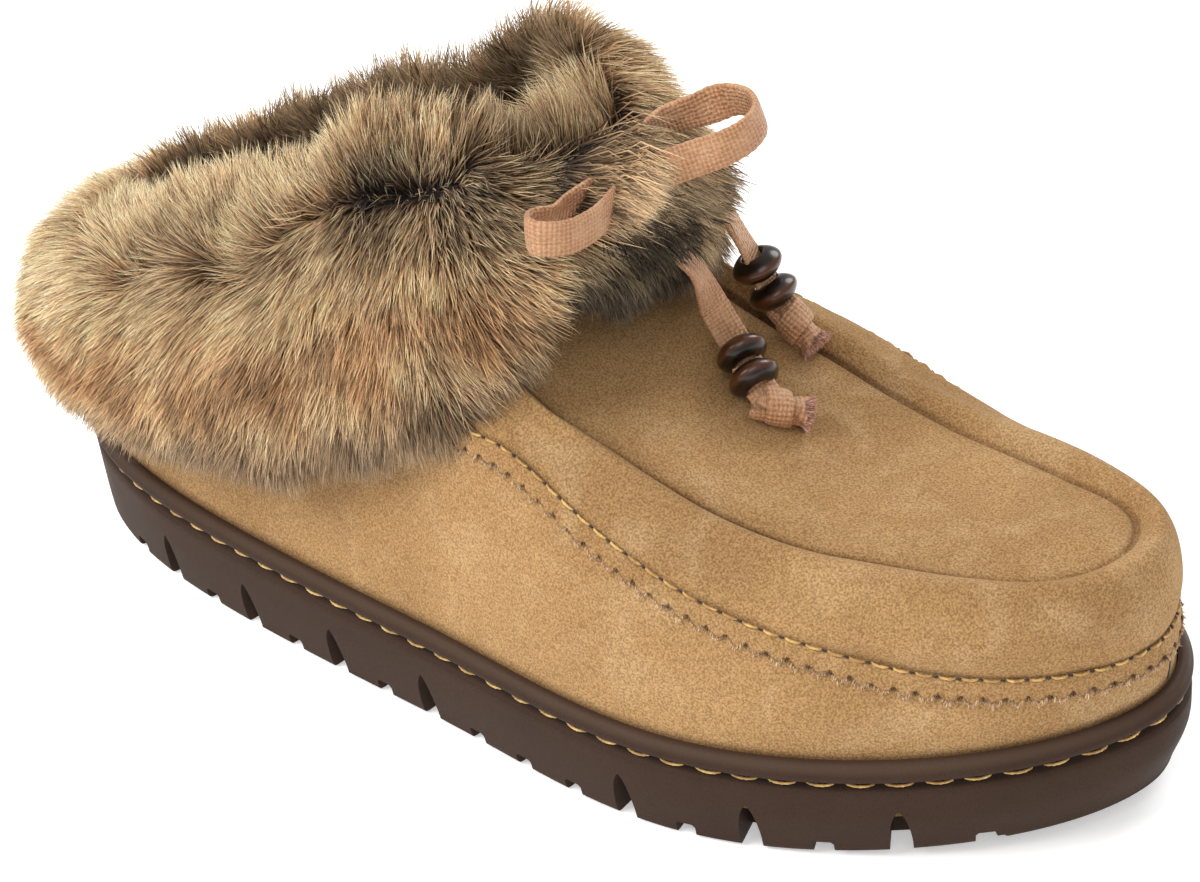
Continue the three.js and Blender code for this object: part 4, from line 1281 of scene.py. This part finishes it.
# Hair that falls over the bow's knot, its loops' ends and the start of each lace end: route, shares, count,
# how far the hair runs to the right and up as the photograph shows it, how light it is
COVER = (
    ("bow_loop_inner", (0.0, 0.03), 1700, 0.95, -0.1, 0.9),
    ("bow_loop_outer", (0.0, 0.06), 1300, 0.9, -0.35, 0.9),
    ("bow_loop_outer", (0.89, 1.0), 2300, 0.9, -0.45, 1.2),
    ("lace_end_inner", (0.0, 0.42), 4200, 0.9, -0.45, 0.95),
    ("lace_end_outer", (0.0, 0.29), 2400, 0.65, -0.75, 0.16),
)
COVER_TINTS = ((0.02, 0.011, 0.007), (0.10, 0.062, 0.036), (0.50, 0.32, 0.17), (0.84, 0.64, 0.39))
SKIN_DEPTH = 6.0
HAIR_COUNT = 195000
HAIR_LONG = 11.0
HAIR_PIECES = 6
LEADER_COUNT = 15000
TIP_PULL = 2.2
GRID_TURNS = 360
GRID_STEPS = 120
# A hair's colours in linear light, at its foot, its middle and its tip, and the greyer tips of the low edge
HAIR_FOOT = np.array([0.020, 0.0110, 0.0072])
HAIR_MIDDLE = np.array([0.54, 0.315, 0.152])
HAIR_TIP = np.array([1.0, 0.765, 0.465])
HAIR_GREY_TIP = np.array([0.70, 0.525, 0.335])
RUST = np.array([0.98, 0.78, 0.62])


def cuff_guide(turn):
    """The loop that the section is swept round."""
    angle = FULL_TURN * turn
    power = np.where(np.cos(angle) > 0, CUFF_GUIDE["heel"], CUFF_GUIDE["front"])
    return np.stack([CUFF_GUIDE["x"] - CUFF_GUIDE["long"] * rounded(np.cos(angle), power),
                     CUFF_GUIDE["y"] - CUFF_GUIDE["wide"] * rounded(np.sin(angle), power)], axis=-1)


def cuff_fields():
    """The cuff's outer form on an even grid (turns, steps, 3): points, normals, ways round and up."""
    rows = np.vstack([CUFF_ROWS, np.column_stack([1 - CUFF_ROWS[:-1, 0], CUFF_ROWS[:-1, 1:]])[::-1]])
    turns = np.arange(GRID_TURNS) / GRID_TURNS
    low, top, puff = (curve(turns)[:, None] for curve in columns(rows))
    nearby = 0.02
    along = unit(cuff_guide(turns + nearby) - cuff_guide(turns - nearby))
    out = np.stack([along[:, 1], -along[:, 0]], axis=1)
    closed = np.vstack([CUFF_SECTION[-1:], CUFF_SECTION])
    section = through(np.column_stack([closed, np.zeros(len(closed))]) * [1.0, SECTION_HEIGHT, 1.0],
                      np.linspace(1 / (PLACES + 1), 1, GRID_STEPS + 1))[:, :2] / [1.0, SECTION_HEIGHT]
    flat = cuff_guide(turns)[:, None] + out[:, None] * (section[None, :, :1] * puff[..., None])
    (edge_lift,) = columns(EDGE_LIFT)
    height = low + (top - low) * section[None, :, 1]
    height = height + edge_lift(turns)[:, None] * smoothstep(8.2, 11.2, grid_places())[None]
    points = np.concatenate([flat, height[..., None]], axis=2)
    around = np.roll(points, -1, 0) - np.roll(points, 1, 0)
    up = np.gradient(points, axis=1)
    normal = unit(np.cross(up, around))
    # The grid's corners fold a little at the heel's tight turn, so its normals are evened out
    for _ in range(6):
        normal = unit(normal + np.roll(normal, 1, 0) + np.roll(normal, -1, 0))
    from_middle = points - points.mean(axis=(0, 1))
    if (from_middle * normal).sum(-1)[:, 70:100].mean() < 0:
        normal = -normal
    return points, normal, unit(around), unit(up)


def grid_places():
    return np.arange(GRID_STEPS + 1) / GRID_STEPS * PLACES


def sample(grid, turn, step):
    """Values of a grid at fractional turns (periodic) and steps."""
    i = np.floor(turn).astype(int) % GRID_TURNS
    j = np.clip(np.floor(step).astype(int), 0, grid.shape[1] - 2)
    a = (turn - np.floor(turn))[:, None]
    b = (step - j)[:, None]
    n = (i + 1) % GRID_TURNS
    return (grid[i, j] * (1 - a) * (1 - b) + grid[n, j] * a * (1 - b) + grid[i, j + 1] * (1 - a) * b
            + grid[n, j + 1] * a * b)


def build_skin(points, normal):
    """The cuff's skin, under the hair's tips, less deep where the band lies against the suede."""
    place = grid_places()
    depth = SKIN_DEPTH * (0.55 + 0.45 * smoothstep(0.0, 4.0, place) * smoothstep(12.0, 9.5, place))
    sink = sum(bell(np.linalg.norm(points - np.array(spot), axis=-1), radius) * dark * 1.6
               for spot, radius, _, dark in SPOTS)
    lumps = layered(points, (22.0, 41, 0.9), (11.0, 42, 0.45))
    skin = points + normal * (lumps - depth[None] - np.minimum(sink, 2.5))[..., None]
    some = skin[:, 4:GRID_STEPS - 2:2]
    faces = grid_faces(GRID_TURNS, some.shape[1], closed_rows=True, closed_count=False)[:, ::-1]
    base = pile_material("fur_skin", (0.030, 0.019, 0.013), (0.07, 0.046, 0.032))
    piece = add_piece("fur_skin", (some.reshape(-1, 3), [faces]), base, ("fur_collar",))
    return skin


def hair_roots(draw, skin):
    """Where hairs grow, as turns and steps: even over the surface, thinner deep inside the opening."""
    steps = grid_places()[:-1]
    cell = np.linalg.norm(np.cross(np.roll(skin, -1, 0)[:, :-1] - skin[:, :-1], skin[:, 1:] - skin[:, :-1]),
                          axis=-1)
    weight = cell * (smoothstep(1.0, 4.0, steps) * 0.55 + 0.45)[None]
    weight[:, (steps < 0.45) | (steps > 11.55)] = 0
    share = np.cumsum(weight.ravel())
    share /= share[-1]
    index = np.searchsorted(share, draw.uniform(0, 1, HAIR_COUNT))
    turn = index // GRID_STEPS + draw.uniform(0, 1, HAIR_COUNT)
    return turn, index % GRID_STEPS + draw.uniform(0, 1, HAIR_COUNT)


def hair_flow(draw, roots, place, turn, side_way, up_way):
    """The way that each hair is combed along the skin, and how far from the parting it grows."""
    parting, above, below = (curve(turn) for curve in columns(PARTING) + columns(LEAN))
    from_parting = place - parting - waves(roots, 20.0, 51) * 0.22
    sign = smoothstep(-0.22, 0.22, from_parting) * 2 - 1
    below = below * (1 - 0.45 * smoothstep(9.6, 11.4, place))
    lean = np.radians(np.where(from_parting < 0, above, below)
                      + layered(roots, (24.0, 61, 17), (7.0, 62, 12)) + draw.normal(size=HAIR_COUNT) * 7)
    flow = unit(up_way * (sign * np.cos(lean) + 0.05)[:, None] + side_way * np.sin(lean)[:, None])
    return flow, from_parting


def gather_tips(draw, roots, ways, long):
    """Draws the tips together into soft tufts, each round a leader, and returns each hair's own leader."""
    tips = roots + (ways[0] + ways[1]) * (long / 2)[:, None]
    leaders = draw.choice(HAIR_COUNT, LEADER_COUNT, replace=False)
    tree = tree_of(roots[leaders])
    own = leaders[np.array([tree.find(root)[1] for root in roots])]
    pull = (tips[own] - tips) * draw.uniform(0.05, 0.5, HAIR_COUNT)[:, None]
    pull *= np.minimum(1.0, TIP_PULL / np.maximum(np.linalg.norm(pull, axis=1, keepdims=True), 1e-6))
    ways[1] = unit(ways[1] * (long / 2)[:, None] + pull)
    return own


def build_cuff(fur):
    points, normal, around, up = cuff_fields()
    skin = build_skin(points, normal)
    draw = np.random.default_rng(101)
    turn, step = hair_roots(draw, skin)
    roots = sample(skin, turn, step)
    out = unit(sample(normal, turn, step))
    side_way = unit(sample(around, turn, step))
    held = np.clip(step, GRID_STEPS / PLACES, 10.2 / PLACES * GRID_STEPS)
    up_way = unit(sample(up, turn, held))
    place = step / GRID_STEPS * PLACES
    turn_share = (turn / GRID_TURNS) % 1.0

    flow, from_parting = hair_flow(draw, roots, place, turn_share, side_way, up_way)
    stand = bell(from_parting, 0.55) * 0.6
    dark = bell(from_parting, 0.5) * 0.35 + layered(roots, (14.0, 71, 0.14), (6.0, 72, 0.12))
    for spot, radius, more, darker in SPOTS:
        near = bell(np.linalg.norm(roots - np.array(spot), axis=1), radius)
        stand += near * more
        dark += near * darker
    # In front the cuff's low edge is a dark flap of shorter hair, between the lace's ends
    flap = (smoothstep(0.428, 0.446, turn_share) * smoothstep(0.535, 0.515, turn_share)
            * smoothstep(8.4, 9.2, place))
    stand = np.clip(stand, 0, 1.1)
    dark = np.maximum(np.clip(dark, 0, 1), flap * 0.97)
    fringe = smoothstep(9.8, 11.3, place)
    start_rise = 1.6 + stand * 0.9 - fringe * 0.7 - flap * 0.6
    end_rise = 0.50 + stand * 0.8 - flap * 0.25 + draw.normal(size=HAIR_COUNT) * 0.2
    long = HAIR_LONG * (1 + waves(roots, 18.0, 81) * 0.08) * draw.uniform(0.62, 1.12, HAIR_COUNT)
    long *= (1 - 0.12 * fringe - 0.15 * smoothstep(4.5, 2.0, place)) * (1 - 0.25 * flap)
    wander = draw.normal(size=(HAIR_COUNT, 3)) * 0.15
    ways = []
    for share, sag in ((0.15, 0.0), (0.85, 0.12)):
        rise = start_rise * (1 - share) + end_rise * share
        ways.append(unit(flow + out * rise[:, None] + wander * (0.5 + share) - UP * sag))

    own = gather_tips(draw, roots, ways, long)
    tints = hair_colours(draw, roots, place, turn_share, dark, own)
    roll = draw.normal(size=HAIR_COUNT) * 0.6
    facing = unit(out * np.cos(roll)[:, None] + np.cross(flow, out) * np.sin(roll)[:, None])
    wide = draw.uniform(0.24, 0.42, HAIR_COUNT)
    for number, part in enumerate(np.array_split(np.argsort(turn, kind="stable"), HAIR_PIECES)):
        form, marks = blades(roots[part], [w[part] for w in ways], long[part], facing[part], wide[part],
                             [tint[part] for tint in tints])
        add_piece(f"fur_hair_{number + 1}", form, fur, marks=marks)
    build_cover(points, fur)


def hair_colours(draw, roots, place, turn, dark, own):
    """Colours at each hair's foot, middle and tip. Hairs of one tuft share part of their lightness."""
    count = len(roots)
    outer = smoothstep(7.5, 9.0, place) * smoothstep(0.08, 0.14, turn) * smoothstep(0.47, 0.42, turn)
    band = outer * bell(place - 9.6, 0.75) * np.clip(0.8 + waves(roots, 20.0, 91) * 0.5, 0, 1)
    low = smoothstep(10.0, 11.0, place)
    top = smoothstep(6.6, 5.2, place)
    belly = smoothstep(6.2, 7.6, place) * smoothstep(10.6, 9.6, place)
    light = draw.uniform(0.70, 1.30, count)[own] * draw.uniform(0.7, 1.35, count)
    light *= (1 + 0.14 * waves(roots, 15.0, 92)) * np.where(draw.uniform(0, 1, count) < 0.22, 0.35, 1.0)
    light *= 1 + 0.3 * smoothstep(0.26, 0.14, turn) - 0.36 * low - 0.38 * top + 0.20 * belly
    light = np.clip(light, 0.15, 1.6)[:, None]
    shown = dark * np.maximum(draw.uniform(0.25, 1.0, count), 0.84 * smoothstep(0.93, 0.97, dark))
    outer_tone = light * (1 + (RUST - 1) * band[:, None]) * (1 - 0.45 * band)[:, None]
    tip = HAIR_TIP + (HAIR_GREY_TIP - HAIR_TIP) * low[:, None]
    return [HAIR_FOOT * (0.7 + 0.3 * light),
            HAIR_MIDDLE * outer_tone * (1 - 0.93 * dark)[:, None],
            np.minimum(tip * outer_tone * (1 - 0.9 * shown)[:, None], 1.0)]


def build_cover(surface, fur):
    """Hairs that rise beside the lace and fall over its knot and the first part of its ends."""
    draw = np.random.default_rng(131)
    tree = tree_of(surface[150:210, 60:110].reshape(-1, 3))
    right, up, back = camera_ways()
    parts = []
    for name, (low, high), count, across, rise, tone in COVER:
        over = through(ROUTES[name], np.linspace(low, high, 40))[draw.integers(0, 40, count)]
        flow = unit(right * across + up * rise)
        over = over + np.cross(flow, back) * draw.normal(size=(count, 1)) * 3.4
        over = over + flow * draw.normal(size=(count, 1)) * 1.5
        behind = over - flow * draw.uniform(2.5, 7.0, (count, 1))
        found = np.array([tree.find(q)[0][:] for q in behind])
        top = over + back * draw.uniform(2.2, 4.6, (count, 1))
        flows = unit(flow + draw.normal(size=(count, 3)) * 0.18 - back * 0.25)
        parts.append((found, top, flows, np.full(count, tone)))
    roots, tops, flows, tones = (np.concatenate(column) for column in zip(*parts))
    count = len(roots)
    first = unit(tops - roots)
    lift = unit(first + back * 0.25)
    light = draw.uniform(0.45, 1.3, count) * (1 + 0.35 * waves(tops, 7.0, 132))
    light *= np.where(draw.uniform(0, 1, count) < 0.25, 0.3, 1.0)
    light = (np.clip(light, 0.15, 1.3) * tones)[:, None]
    facing = unit(draw.normal(size=(count, 3)) * 0.5 + back)
    form, marks = blades(roots, [lift, unit(first * 2 - lift), unit(flows)],
                         np.linalg.norm(tops - roots, axis=1) * 1.5, facing,
                         draw.uniform(0.22, 0.38, count), [np.array(tint) * light for tint in COVER_TINTS])
    add_piece("fur_cover", form, fur, marks=marks)


def build_shoe():
    suede = suede_material()
    gold_thread = thread_material("gold_thread", (0.78, 0.50, 0.15), (0.42, 0.22, 0.055))
    # A dark thread-like material for painted shadow, in the stitch holes and along the toe's seam
    seam_shadow_paint = thread_material("seam_shadow", (0.045, 0.022, 0.012), (0.015, 0.008, 0.005))
    pile = pile_material("pile", (0.34, 0.235, 0.145), (0.56, 0.41, 0.27))
    build_sole(rubber_material(), gold_thread)
    build_upper(suede, pile)
    build_seam(suede, gold_thread, seam_shadow_paint)
    build_footbed(pile)
    build_cuff(hair_material("fur_hair", 0.62))


build_stage()
build_lace()
build_shoe()
